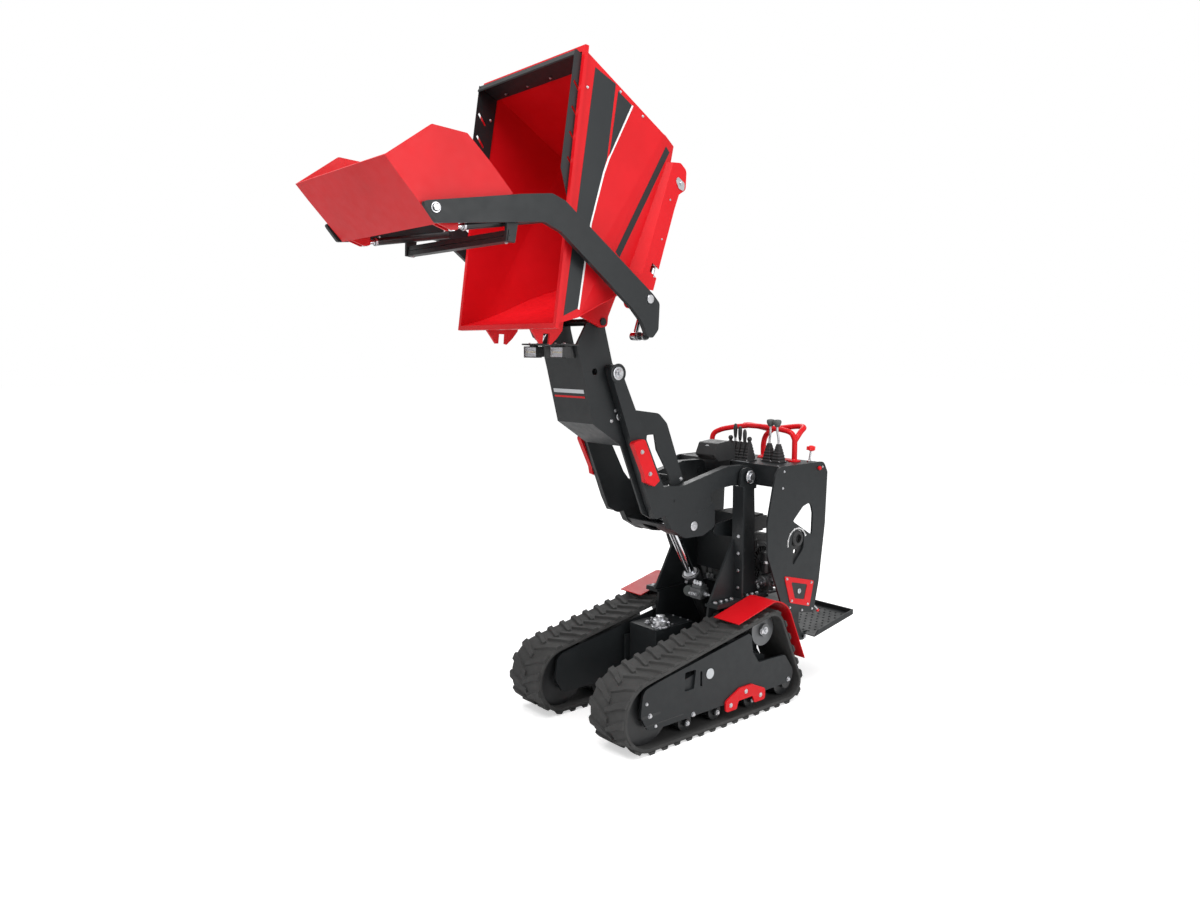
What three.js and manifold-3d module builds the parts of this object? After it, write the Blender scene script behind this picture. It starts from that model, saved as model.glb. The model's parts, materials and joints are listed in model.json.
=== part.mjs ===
// A tracked site dumper with a high-tipping skip and its own loading shovel.
// Millimetres. +X is the machine's left, +Y its rear, +Z up. It is modelled in a working frame
// whose Y = 0 lies under the front idlers, and the whole group is then moved so that the origin
// is the middle of its box on the ground.
import * as THREE from "three";
import { mergeVertices } from "three/addons/utils/BufferGeometryUtils.js";
import Module from "manifold-3d";

const wasm = await Module();
wasm.setup();

// ---------------------------------------------------------------- driving dimensions
const GAP = 0.3; // between touching pieces
const SEGMENTS = 18; // sides of a round piece

const TRACK = {
  outer: 390, // half of the machine's width
  inner: 175, // half of the space between the tracks
  belt: 28, // belt and its lugs
  frontIdler: { y: -8, r: 135 },
  rearIdler: { y: 862, r: 66 },
  sprocket: { y: 728, z: 362, r: 75 },
  rollers: [215, 398, 628],
  rollerRadius: 38,
  framePlate: 12,
  frameInset: 12, // frame plates stand this far inside the belt's edges
};
const CHASSIS = { floor: 150, plate: 12, sideTop: 300, deck: 470, deckPlate: 12, front: 330, rear: 880 };
const TANK = { left: 28, right: -152, front: 350, rear: 590, top: 360, cap: 34 };
const FENDER = { inner: 242, thick: 4, clear: TRACK.belt + 6 };
const TOWER = { web: 12, inner: 172, outer: 236, flangeY: 690, top: 1010 };
const PIVOT = {
  lift: { y: 778, z: 1045 }, // lift arm on the tower
  boom: { y: 1, z: 1535 }, // boom on the lift arm
  skip: { y: -60, z: 1742 }, // skip on the boom
  liftBase: { y: 760, z: 290 }, // lift cylinder on the chassis
  liftEye: { y: 450, z: 850 }, // lift cylinder on the lift arm
  tipBase: { y: 43, z: 1356 }, // tip cylinder in the boom
  tipEye: { y: -40, z: 1820 }, // tip cylinder under the skip
  linkTower: { y: 660, z: 801 }, // boom link on the tower
  linkBoom: { y: 404, z: 985 }, // boom link on the boom
  platform: { y: 1128, z: 232 },
};
const LIFT_ARM = { inner: 126, thick: 36, boss: 36, towerBoss: 45 };
const BOOM = { outer: 118, plate: 10, cover: 8 };
const SKIP = {
  half: 320, // half of the width over its walls
  floorHalf: 252,
  wall: 4,
  flange: 13,
  tip: THREE.MathUtils.degToRad(83.4), // how far it is tipped forward as it stands
  pivot: { y: 64, z: -380 }, // its hinge, from its front lip
};
const ARM = { inner: SKIP.half + 36, thick: 20, pivot: { y: 150, z: -407 }, shovel: { y: 301, z: 545 } };
const ARM_CYLINDER = { x: SKIP.half - 29, base: { y: 636, z: -566 }, eye: { y: 10, z: -422 }, barrel: 19, rod: 10 };
const CROSS = { y: 270, z: 238 }; // the bars between the loader arms
const SHOVEL = { half: SKIP.half + 28, plate: 6 };
const TILT_CYLINDER = { x: SKIP.half - 2, base: { y: 362, z: 87 }, eye: { y: 263, z: 448 }, barrel: 14, rod: 8 };
const LIFT_CYLINDER = { barrel: 40, rod: 22 };
const TIP_CYLINDER = { barrel: 25, rod: 15 };
const CONSOLE = { half: 332, plate: 10, top: 1100, front: 790, rear: 1170 };
const ENGINE = { half: 165, front: 836, rear: 1078, bottom: 482, top: 745 };
const PLATFORM = { half: 300, length: 340, plate: 5, fold: 26 };

// ---------------------------------------------------------------- colours
const paint = (color, roughness = 0.4, metalness = 0.1) =>
  new THREE.MeshStandardMaterial({ color, roughness, metalness });
const RED = paint(0xe8232f);
const ANTHRACITE = paint(0x3a3f40, 0.5);
const RUBBER = paint(0x4a4b4b, 0.85, 0);
const STEEL = paint(0xb9bcbf, 0.3, 0.9);
const BLACK = paint(0x1b1d1e, 0.55, 0);

// ---------------------------------------------------------------- solids
function solid(geometry) {
  const plain = geometry.index ? geometry.toNonIndexed() : geometry.clone();
  plain.deleteAttribute("normal");
  plain.deleteAttribute("uv");
  const merged = mergeVertices(plain, 1e-3);
  return new wasm.Manifold(
    new wasm.Mesh({
      numProp: 3,
      vertProperties: merged.attributes.position.array,
      triVerts: new Uint32Array(merged.index.array),
    }),
  );
}

function geometryOf(made) {
  const { vertProperties, triVerts } = made.getMesh();
  const geometry = new THREE.BufferGeometry();
  geometry.setAttribute("position", new THREE.BufferAttribute(vertProperties, 3));
  geometry.setIndex(new THREE.BufferAttribute(triVerts, 1));
  return geometry;
}

const join = (...parts) => parts.flat().reduce((a, b) => a.add(b));
const cut = (from, ...parts) => parts.flat().reduce((a, b) => a.subtract(b), from);

// local x, y, z of an extrusion become Y, Z, X of the machine
const SIDEWAYS = new THREE.Matrix4().makeBasis(
  new THREE.Vector3(0, 1, 0),
  new THREE.Vector3(0, 0, 1),
  new THREE.Vector3(1, 0, 0),
);

// A closed outline of [y, z] or [y, z, corner radius] points, taken anticlockwise.
function outline(given) {
  const clockwise = THREE.ShapeUtils.isClockWise(given.map(([x, y]) => ({ x, y })));
  const points = clockwise ? [...given].reverse() : given;
  const shape = new THREE.Shape();
  const n = points.length;
  points.forEach(([y, z, r = 0], i) => {
    const corner = new THREE.Vector2(y, z);
    const before = new THREE.Vector2(...points[(i + n - 1) % n]).sub(corner);
    const after = new THREE.Vector2(...points[(i + 1) % n]).sub(corner);
    const half = before.angleTo(after) / 2;
    const back = r ? Math.min(r / Math.tan(half), before.length() * 0.49, after.length() * 0.49) : 0;
    const start = corner.clone().addScaledVector(before.normalize(), back);
    const end = corner.clone().addScaledVector(after.normalize(), back);
    if (i === 0) shape.moveTo(start.x, start.y);
    else shape.lineTo(start.x, start.y);
    if (back) shape.quadraticCurveTo(corner.x, corner.y, end.x, end.y);
  });
  shape.closePath();
  return shape;
}

// An outline in the side view, extruded from x0 to x1.
function slab(points, x0, x1, holes = []) {
  const shape = outline(points);
  holes.forEach((hole) => shape.holes.push(outline(hole)));
  const geometry = new THREE.ExtrudeGeometry(shape, {
    depth: Math.abs(x1 - x0),
    bevelEnabled: false,
    curveSegments: 4,
  });
  geometry.applyMatrix4(SIDEWAYS).translate(Math.min(x0, x1), 0, 0);
  return solid(geometry);
}

const block = (x0, x1, y0, y1, z0, z1) =>
  solid(
    new THREE.BoxGeometry(Math.abs(x1 - x0), y1 - y0, z1 - z0).translate((x0 + x1) / 2, (y0 + y1) / 2, (z0 + z1) / 2),
  );

// A round bar between two points.
function bar(from, to, radius, sides = SEGMENTS) {
  const a = new THREE.Vector3(...from);
  const b = new THREE.Vector3(...to);
  const geometry = new THREE.CylinderGeometry(radius, radius, a.distanceTo(b), sides);
  const turn = new THREE.Quaternion().setFromUnitVectors(
    new THREE.Vector3(0, 1, 0),
    b.clone().sub(a).normalize(),
  );
  geometry.applyQuaternion(turn).translate(...a.add(b).multiplyScalar(0.5));
  return solid(geometry);
}

const pin = ({ y, z }, x0, x1, radius, sides) => bar([x0, y, z], [x1, y, z], radius, sides);

// A tube of round section along a curve through points.
function tube(points, radius, steps, tension = 0.5) {
  const path = new THREE.CatmullRomCurve3(
    points.map((p) => new THREE.Vector3(...p)),
    false,
    "catmullrom",
    tension,
  );
  const round = new THREE.Shape().absarc(0, 0, radius, 0, 2 * Math.PI);
  return solid(
    new THREE.ExtrudeGeometry(round, { steps, extrudePath: path, curveSegments: 5, bevelEnabled: false }),
  );
}

// The outer tangent hull of discs { y, z, r } as an outline.
function hull(discs, grow = 0, sides = 30) {
  const points = discs.flatMap(({ y, z, r }) =>
    Array.from({ length: sides }, (_, i) => {
      const a = (2 * Math.PI * i) / sides;
      return [y + (r + grow) * Math.cos(a), z + (r + grow) * Math.sin(a)];
    }),
  );
  points.sort((p, q) => p[0] - q[0] || p[1] - q[1]);
  const half = (list) => {
    const chain = [];
    for (const p of list) {
      while (chain.length > 1) {
        const [a, b] = chain.slice(-2);
        if ((b[0] - a[0]) * (p[1] - a[1]) - (b[1] - a[1]) * (p[0] - a[0]) > 1e-9) break;
        chain.pop();
      }
      chain.push(p);
    }
    return chain.slice(0, -1);
  };
  return [...half(points), ...half([...points].reverse())];
}

// A sheet of even thickness that follows a line of [y, z] points, its material on the line's left.
function sheet(line, thick, x0, x1) {
  const left = line.map(([y, z], i) => {
    const a = line[Math.max(i - 1, 0)];
    const b = line[Math.min(i + 1, line.length - 1)];
    const length = Math.hypot(b[0] - a[0], b[1] - a[1]);
    return [y - (thick * (b[1] - a[1])) / length, z + (thick * (b[0] - a[0])) / length];
  });
  return slab([...line, ...left.reverse()], x0, x1);
}

const machine = new THREE.Group();
const skipFrame = new THREE.Group(); // its origin is the skip's front lip, level with the rim
skipFrame.rotation.x = SKIP.tip;
skipFrame.position.set(
  0,
  PIVOT.skip.y - SKIP.pivot.y * Math.cos(SKIP.tip) + SKIP.pivot.z * Math.sin(SKIP.tip),
  PIVOT.skip.z - SKIP.pivot.y * Math.sin(SKIP.tip) - SKIP.pivot.z * Math.cos(SKIP.tip),
);
machine.add(skipFrame);

function place(name, made, material, frame = machine) {
  const mesh = new THREE.Mesh(geometryOf(made), material);
  mesh.name = name;
  frame.add(mesh);
}

// The same piece on both sides: make(1) is the left one.
function bothSides(name, make, material, frame) {
  for (const [suffix, side] of [["left", 1], ["right", -1]]) {
    place(`${name}_${suffix}`, make(side), material, frame);
  }
}

// ---------------------------------------------------------------- tracks
const idlerZ = ({ r }) => r + TRACK.belt;
const loop = [
  { y: TRACK.frontIdler.y, z: idlerZ(TRACK.frontIdler), r: TRACK.frontIdler.r },
  TRACK.sprocket,
  { y: TRACK.rearIdler.y, z: idlerZ(TRACK.rearIdler), r: TRACK.rearIdler.r },
];
const rollerZ = TRACK.belt + TRACK.rollerRadius + GAP;
const frameOuter = TRACK.outer - TRACK.frameInset;
const frameInner = TRACK.inner + TRACK.frameInset;

function track(side) {
  return slab(hull(loop, TRACK.belt, 28), side * TRACK.inner, side * TRACK.outer, [hull(loop, 0, 28)]);
}

function trackFrame(side) {
  const plate = [
    [-62, 168, 30], [-48, 272, 40], [40, 292, 60], [585, 384, 12], [600, 368], [612, 292], [652, 238],
    [760, 236], [835, 233, 20], [896, 150, 40], [884, 98, 20], [700, 96], [-20, 96, 40],
  ];
  const window = [[186, 214, 8], [240, 214, 8], [252, 296, 8], [186, 296, 8]];
  const slot = [[277, 216], [289, 213], [289, 279], [277, 281]];
  const outer = slab(plate, side * frameOuter, side * (frameOuter - TRACK.framePlate), [window, slot]);
  const inner = slab(
    [...plate.slice(0, 3), [585, 384, 12], [700, 404, 30], [784, 396, 30], ...plate.slice(8)],
    side * frameInner,
    side * (frameInner + TRACK.framePlate),
  );
  const core = slab(
    [[165, 120], [560, 120], [560, 330, 20], [165, 255, 20]],
    side * (frameInner + TRACK.framePlate - 1),
    side * (frameOuter - TRACK.framePlate + 1),
  );
  const rearCore = slab(
    [[559, 122], [760, 122, 10], [760, 235], [559, 300]],
    side * (frameInner + TRACK.framePlate - 1),
    side * (frameOuter - 60),
  );
  return cut(join(outer, inner, core, rearCore), pin({ y: 728, z: 362 }, side * 180, side * 225, 20));
}

// A wheel with a hub, on an axle that reaches both frame plates.
function wheel(side, { y, z, r }, half, hub) {
  const middle = (side * (frameInner + frameOuter)) / 2;
  const reach = (frameOuter - frameInner) / 2 - TRACK.framePlate - GAP;
  return join(
    pin({ y, z }, middle - half, middle + half, r - 1, 30),
    pin({ y, z }, middle - reach, middle + reach, hub),
  );
}

const frontIdler = (side) => wheel(side, loop[0], 62, 45);
const sprocket = (side) => {
  const middle = (side * (frameInner + frameOuter)) / 2;
  return join(
    pin(loop[1], middle - 50, middle + 50, loop[1].r - 1, 28),
    pin(loop[1], side * (frameInner + TRACK.framePlate + GAP), middle, 52),
    pin(loop[1], middle, side * (frameOuter - 30), 30),
  );
};

function rollerSet(side) {
  const middle = (side * (frameInner + frameOuter)) / 2;
  const last = TRACK.rollers.at(-1);
  const rail = block(middle - 12, middle + 12, TRACK.rollers[0] - 30, TRACK.rearIdler.y, 68, 108);
  const rollers = TRACK.rollers.map((y) =>
    join(
      pin({ y, z: rollerZ }, middle - 66, middle + 66, TRACK.rollerRadius),
      pin({ y, z: rollerZ }, middle - 83, middle + 83, 16),
    ),
  );
  const rear = loop[2];
  const head = slab([[last, 70], [rear.y, 70], [rear.y, 108], [last, 108]], middle - 12, middle + 12);
  return join(rail, head, ...rollers, pin(rear, middle - 62, middle + 62, rear.r - 1, 28),
    pin(rear, middle - 83, middle + 83, 30));
}

function rocker(side) {
  const shape = [
    [430, 62, 16], [500, 62, 10], [512, 96, 8], [606, 96, 8], [618, 62, 10], [690, 62, 16],
    [690, 112, 20], [600, 152, 12], [520, 152, 12], [430, 112, 20],
  ];
  return slab(shape, side * (frameOuter + GAP), side * (frameOuter + 8));
}

bothSides("track", track, RUBBER);
bothSides("track_frame", trackFrame, ANTHRACITE);
bothSides("front_idler", frontIdler, ANTHRACITE);
bothSides("drive_sprocket", sprocket, STEEL);
bothSides("roller_set", rollerSet, ANTHRACITE);
bothSides("rocker", rocker, RED);

// ---------------------------------------------------------------- chassis, tank, fenders
const beamHalf = frameInner - GAP;

function chassis() {
  const { floor, plate, sideTop, deck, deckPlate, front, rear } = CHASSIS;
  const half = TRACK.inner - 5;
  const side = (s) =>
    join(
      slab(
        [[front, floor], [rear, floor], [rear, deck], [545, deck], [520, sideTop, 20], [front, sideTop]],
        s * half,
        s * (half - plate),
      ),
      block(s * (half - plate), s * TOWER.outer, 530, rear, deck, deck + deckPlate),
    );
  const base = TRACK.frontIdler.y;
  const beam = (y0, y1) => block(-beamHalf, beamHalf, y0, y1, floor - 30, floor + plate);
  const lug = (s) =>
    slab(
      [[700, floor + 5], [820, floor + 5], [PIVOT.liftBase.y + 34, PIVOT.liftBase.z + 34, 30],
        [PIVOT.liftBase.y - 34, PIVOT.liftBase.z + 34, 30]],
      s * 48,
      s * 60,
    );
  const rearWall = block(-half, half, rear - plate, rear, floor, deck + deckPlate);
  const tail = block(-CONSOLE.half + CONSOLE.plate + GAP, CONSOLE.half - CONSOLE.plate - GAP, 893, 1090, 392, 448);
  const spine = block(-120, 120, rear - 1, 894, 392, 448);
  const hangers = [1, -1].map((s) =>
    slab([[1010, 400], [1090, 400], [1090, 300, 10], [1116, 251, 10], [1146, 250, 18], [1146, 214, 18],
      [1104, 214, 20]], s * 240, s * 252),
  );
  const made = join(
    block(-half, half, front, rear, floor, floor + plate),
    side(1), side(-1), beam(base + 345, base + 420), beam(790, 850),
    lug(1), lug(-1), pin(PIVOT.liftBase, -60, 60, 15), rearWall, spine, tail, hangers,
  );
  return cut(made, pin(PIVOT.platform, -300, 300, 8.3));
}

function tank() {
  const { left, right, front, rear, top, cap } = TANK;
  const bottom = CHASSIS.floor + CHASSIS.plate + GAP;
  return join(
    slab([[front, bottom], [rear, bottom], [rear, top], [front, top]], right, left),
    bar([-8, front + 62, top - 1], [-8, front + 62, top + 34], cap),
    bar([-8, front + 62, top + 30], [-8, front + 62, top + 52], cap - 14),
  );
}

function fender(side) {
  const { inner, thick, clear } = FENDER;
  const { y, z, r } = TRACK.sprocket;
  const reach = r + TRACK.belt + clear;
  const arc = Array.from({ length: 9 }, (_, i) => {
    const a = THREE.MathUtils.degToRad(88 - i * 8.6);
    return [y + 6 + reach * Math.cos(a), z + reach * Math.sin(a)];
  });
  const line = [[500, 441], ...arc, [963, 192]];
  const lug = slab(
    [[612, CHASSIS.deck + 2], [700, CHASSIS.deck + 2], [700, 490], [612, 480]],
    side * (TOWER.outer + GAP), side * (inner + 6),
  );
  return join(sheet(line, thick, side * inner, side * TRACK.outer), cut(lug, fenderSpace(side, line)));
}

// Everything above the fender's sheet, so that its lug ends in the sheet.
function fenderSpace(side, line) {
  return slab([...line.slice(0, 6), [860, 700], [500, 700]], side * 200, side * 400);
}

place("chassis", chassis(), ANTHRACITE);
place("tank", tank(), ANTHRACITE);
bothSides("fender", fender, RED);

// ---------------------------------------------------------------- tower and engine
function towerSide(s) {
  const { web, inner, outer, flangeY, top } = TOWER;
  const base = CHASSIS.deck + CHASSIS.deckPlate + GAP;
  const { y, z } = PIVOT.lift;
  const foot = 8;
  const profile = [
    [532, base], [868, base], [842, 560, 30], [832, 700, 60], [832, 860, 40], [824, 1010, 30],
    [y + 42, z + 42, 40], [y - 42, z + 42, 40], [y - 60, 960, 30], [flangeY, 900], [flangeY, 760, 30],
    [652, 700, 20],
  ];
  return join(
    slab(profile, s * inner, s * (inner + web)),
    block(s * inner, s * outer, flangeY, flangeY + 10, base, top),
    block(s * inner, s * outer, 532, 868, base, base + foot),
    pin(PIVOT.lift, s * (LIFT_ARM.inner - 6), s * (inner + web + 14), 17),
  );
}

function tower() {
  const { inner, web } = TOWER;
  const { linkTower: d, lift } = PIVOT;
  const back = block(-inner - 1, inner + 1, 818, 828, 560, 850);
  const linkLugs = [1, -1].map((s) =>
    join(
      slab([[820, d.z - 60], [820, d.z + 46, 10], [d.y - 22, d.z + 24, 24], [d.y - 24, d.z - 24, 24],
        [d.y + 40, d.z - 34, 20]], s * 101, s * 111),
      pin(d, s * 78, s * 102, 12),
    ));
  const crown = [1, -1].map((s) => block(s * inner, s * (inner + web), lift.y + 20, lift.y + 62, 985, 1040));
  const top = block(-inner - web / 2, inner + web / 2, lift.y + 52, lift.y + 62, 985, 1040);
  return join(towerSide(1), towerSide(-1), back, linkLugs, crown, top);
}

function engine() {
  const { half, front, rear, bottom, top } = ENGINE;
  const middle = (front + rear) / 2;
  return join(
    block(-half, half, front, rear, bottom, top),
    block(-half + 30, half - 60, middle - 90, middle + 60, top - 1, top + 90),
    block(-half + 20, half - 20, CHASSIS.rear + GAP, rear - 20, 448 + GAP, bottom + 1),
  );
}

// ---------------------------------------------------------------- lift arm
const liftOuter = LIFT_ARM.inner + LIFT_ARM.thick;

function liftArm() {
  const { inner, boss, towerBoss } = LIFT_ARM;
  const { boom: b, lift: a } = PIVOT;
  const profile = [
    [b.y - 50, b.z + boss, boss], [b.y + 28, b.z + boss, 30], [b.y + 34, b.z - 20, 20], [262, 1044, 8], [377, 1037, 10],
    [664, 1099, 14], [a.y + towerBoss, a.z + 50, towerBoss], [a.y + towerBoss, a.z - towerBoss, towerBoss],
    [690, 1008], [590, 1001, 14], [556, 985, 10], [556, 950, 8], [584, 934, 6], [584, 832, 20],
    [508, 799, 40], [395, 802, 30], [312, 850, 12], [276, 917, 12], [216, 908, 12], [182, 974, 20],
  ];
  const plates = [1, -1].map((s) =>
    cut(slab(profile, s * inner, s * liftOuter), pin(a, s * (inner - 10), s * (liftOuter + 10), 17.5)),
  );
  const cross = pin(PIVOT.liftEye, -inner - 1, inner + 1, 17);
  const boomPins = [1, -1].map((s) => pin(b, s * (BOOM.outer - BOOM.plate + 1), s * (liftOuter + 10), 16));
  const guard = sheet([[480, 803], [440, 799], [395, 806], [340, 834], [305, 866]], -6, -inner - 1, inner + 1);
  const slot = block(-46, 46, 326, 520, 760, 900);
  return join(plates, cut(join(cross, guard), slot), boomPins);
}

function armGuard(side) {
  const shape = [
    [60, 1250, 14], [128, 1262, 20], [214, 1078], [184, 1056, 10], [134, 1078], [128, 1110],
  ];
  return slab(shape, side * (liftOuter + GAP), side * (liftOuter + 26));
}

// ---------------------------------------------------------------- boom
const BOOM_COVER = [[58, 1230], [-95, 1330], [-151, 1556], [-178, 1652]]; // its underside and front

function boom() {
  const { outer, plate, cover } = BOOM;
  const { skip: h, tipBase } = PIVOT;
  const profile = [
    [h.y + 26, h.z + 30, 26], [h.y + 30, h.z - 26, 20], [8, 1578], [132, 1378, 20], [273, 1358, 50], [322, 1312, 40],
    [398, 1122], [442, 1010, 40], [408, 932, 24], [238, 898, 34], [180, 930, 20],
    ...BOOM_COVER, [h.y - 45, h.z + 30, 30],
  ];
  const window = [
    [199, 1215, 10], [203, 1268, 6], [248, 1268, 6], [262, 1200], [335, 1085, 10], [352, 1035, 14],
    [316, 1030, 14], [271, 1082],
  ];
  const hole = (p, r) => Array.from({ length: 16 }, (_, i) => {
    const a = (2 * Math.PI * i) / 16;
    return [p.y + r * Math.cos(a), p.z + r * Math.sin(a)];
  });
  const plates = [1, -1].map((s) =>
    cut(
      slab(profile, s * (outer - plate), s * outer, [window, hole({ y: -85, z: 1542 }, 14)]),
      pin(PIVOT.boom, s * (outer - plate - 5), s * (outer + 5), 16.5),
    ),
  );
  const within = outer - plate + 1;
  return join(
    plates,
    sheet(BOOM_COVER, -cover, -within, within),
    pin(tipBase, -outer - 4, outer + 4, 15),
    pin(h, -outer - 26, outer + 26, 15),
    pin({ y: 408, z: 1060 }, -within, within, 12),
  );
}

function workLamps() {
  const [low, high] = BOOM_COVER.slice(-2);
  const rise = (z) => low[0] + ((z - low[1]) * (high[0] - low[0])) / (high[1] - low[1]) - GAP;
  const flange = slab([[rise(1596), 1596], [rise(1652), 1652], [rise(1652) - 6, 1652], [rise(1596) - 6, 1596]], -92, 92);
  const shelf = slab([[rise(1645), 1645], [rise(1651), 1651], [-268, 1656], [-268, 1649]], -132, 132);
  const lamps = [1, -1].map((s) =>
    join(block(s * 88 - 44, s * 88 + 44, -258, -216, 1598, 1644), block(s * 88 - 12, s * 88 + 12, -246, -228, 1640, 1650)),
  );
  return join(flange, shelf, lamps);
}

// ---------------------------------------------------------------- cylinders
// A barrel from its base eye, and the rod that leaves it and ends in an eye. shut is the shortest
// distance between the two eyes.
function cylinder(base, eye, x, barrelRadius, rodRadius, shut, eyeHalf) {
  const along = new THREE.Vector2(eye.y - base.y, eye.z - base.z);
  const length = along.length();
  along.normalize();
  const at = (t) => [x, base.y + along.x * t, base.z + along.y * t];
  const eyeRadius = rodRadius * 1.7;
  const barrelEnd = shut - eyeRadius - 5;
  const boreStart = barrelRadius * 1.6;
  const barrel = cut(
    join(
      bar(at(barrelRadius * 0.6), at(barrelEnd), barrelRadius),
      pin(base, x - eyeHalf, x + eyeHalf, barrelRadius * 0.95),
    ),
    bar(at(boreStart), at(barrelEnd + 5), rodRadius + GAP),
  );
  const rod = join(
    bar(at(length - shut + boreStart + 4), at(length), rodRadius),
    pin(eye, x - eyeHalf, x + eyeHalf, eyeRadius),
  );
  return [barrel, rod];
}

const [liftBarrel, liftRod] = cylinder(
  PIVOT.liftBase, PIVOT.liftEye, 0, LIFT_CYLINDER.barrel, LIFT_CYLINDER.rod, 384, 42);
const [tipBarrel, tipRod] = cylinder(
  PIVOT.tipBase, PIVOT.tipEye, 0, TIP_CYLINDER.barrel, TIP_CYLINDER.rod, 341, 26);

place("tower", tower(), ANTHRACITE);
place("engine", engine(), BLACK);
place("lift_arm", liftArm(), ANTHRACITE);
bothSides("arm_guard", armGuard, RED);
place("boom", boom(), ANTHRACITE);
place("work_lamps", workLamps(), BLACK);
place("lift_barrel", cut(liftBarrel, pin(PIVOT.liftBase, -60, 60, 15.3)), BLACK);
place("lift_rod", liftRod, STEEL);
place("tip_barrel", cut(tipBarrel, pin(PIVOT.tipBase, -60, 60, 15.3)), BLACK);
place("tip_rod", tipRod, STEEL);

function boomLink() {
  const { linkTower: d, linkBoom: c } = PIVOT;
  const along = new THREE.Vector2(d.y - c.y, d.z - c.z).normalize();
  const across = new THREE.Vector2(-along.y, along.x).multiplyScalar(20);
  const shape = [
    [c.y - along.x * 21 + across.x, c.z - along.y * 21 + across.y, 20],
    [c.y - along.x * 21 - across.x, c.z - along.y * 21 - across.y, 20],
    [d.y + along.x * 21 - across.x, d.z + along.y * 21 - across.y, 20],
    [d.y + along.x * 21 + across.x, d.z + along.y * 21 + across.y, 20],
  ];
  const middle = { y: (c.y + d.y) / 2, z: (c.z + d.z) / 2 };
  const made = join(
    slab(shape, 80, 96), slab(shape, -96, -80),
    pin({ y: middle.y - along.x * 60, z: middle.z - along.y * 60 }, -81, 81, 14),
  );
  return cut(made, pin(d, -120, 120, 12.3));
}
place("boom_link", boomLink(), ANTHRACITE);

// ---------------------------------------------------------------- skip, in its own level frame
const SKIP_PROFILE = [
  [0, 0], [40, -108], [79, -184], [155, -312], [236, -484], [276, -530], [774, -530], [801, -448], [988, -48], [990, 0],
];
const RIM_DROP = 26; // how much lower the rim is at the rear

// Moves every edge of a convex outline inwards by t, apart from the last edge, which is moved out.
function inset(points, t, open = 60) {
  const n = points.length;
  const lines = points.map((p, i) => {
    const q = points[(i + 1) % n];
    const length = Math.hypot(q[0] - p[0], q[1] - p[1]);
    const normal = [-(q[1] - p[1]) / length, (q[0] - p[0]) / length];
    const move = i === n - 1 ? -open : t;
    return { p: [p[0] + normal[0] * move, p[1] + normal[1] * move], d: [q[0] - p[0], q[1] - p[1]] };
  });
  return lines.map((b, i) => {
    const a = lines[(i + n - 1) % n];
    const cross = a.d[0] * b.d[1] - a.d[1] * b.d[0];
    const k = ((b.p[0] - a.p[0]) * b.d[1] - (b.p[1] - a.p[1]) * b.d[0]) / cross;
    return [a.p[0] + a.d[0] * k, a.p[1] + a.d[1] * k];
  });
}

// The lower side walls slope in from a fold line to the floor.
function chined(made, shrink) {
  const { half, floorHalf } = SKIP;
  const foldFront = new THREE.Vector3(half, 300, -232);
  const foldRear = new THREE.Vector3(half, 703, -420);
  const floorFront = new THREE.Vector3(floorHalf, 400, -530);
  const normal = foldRear.clone().sub(foldFront).cross(floorFront.clone().sub(foldFront)).normalize();
  if (normal.x > 0) normal.negate();
  const offset = normal.dot(foldFront) + shrink;
  return made
    .trimByPlane([normal.x, normal.y, normal.z], offset)
    .trimByPlane([-normal.x, normal.y, normal.z], offset);
}

function skipShell() {
  const { half, wall, flange, pivot: h } = SKIP;
  const outer = chined(slab(SKIP_PROFILE, -half, half), 0);
  const inner = chined(slab(inset(SKIP_PROFILE, wall), -half + wall, half - wall), wall);
  const shell = cut(outer, inner);
  const sideFlange = [1, -1].map((s) =>
    slab([[-10, 0], [-10, -14], [992, -16 - RIM_DROP], [992, -RIM_DROP]], s * (half - 1), s * (half + flange)),
  );
  const rimCut = slab([[-20, 0.01], [1100, -RIM_DROP - 2.9], [1100, 90], [-20, 90]], -400, 400);
  const lip = slab([[-12, 0], [-12, -20], [-8, -20], [-8, -5], [6, -5], [6, 0]], -half - flange, half + flange);
  const rearFlange = slab([[988, -16 - RIM_DROP], [1006, -16 - RIM_DROP], [1006, -RIM_DROP], [984, -RIM_DROP]],
    -half - flange, half + flange);
  const hinge = [1, -1].map((s) =>
    slab(
      [[h.y - 24, h.z + 8, 18], [h.y - 16, h.z - 26, 18], [h.y + 24, h.z - 26, 18], [224, -455], [90, -203]],
      s * (BOOM.outer + 6), s * (BOOM.outer + 20)),
  );
  const eye = { y: tipEyeLocal.y, z: tipEyeLocal.z };
  const tipLugs = [1, -1].map((s) =>
    slab([[eye.y - 26, eye.z + 12, 20], [eye.y - 20, eye.z - 26, 20], [eye.y + 20, eye.z - 26, 18],
      [190, -384], [110, -238]], s * 34, s * 46));
  const r = ARM.pivot;
  const claws = [150, -150].map((x) =>
    slab([[30, -24], [-14, -22], [-34, -42], [-60, -66], [-58, -79], [-20, -79], [-17, -109], [-56, -110],
      [-58, -120], [-30, -146], [2, -168], [76, -172]], x - 5, x + 5));
  const channels = [1, -1].map((s) => channel(s));
  const outside = cut(join(...hinge, ...tipLugs, ...claws, ...channels), inner);
  return cut(
    join(cut(shell, rimCut), ...sideFlange, lip, rearFlange, outside),
    pin(h, -400, 400, 15.5),
    [1, -1].map((s) => pin(r, s * (half - 90), s * (half + 40), 15.5)),
  );
}

// The box that covers an arm cylinder under the sloping wall, with the arm's pivot in its front end.
const CHANNEL = { top: [[196, -396], [707, -520]], low: [[196, -474], [530, -549], [590, -566], [616, -600, 20],
  [692, -596, 26], [714, -560, 16]], side: SKIP.half - 3, wall: 4, width: 58 };

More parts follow.
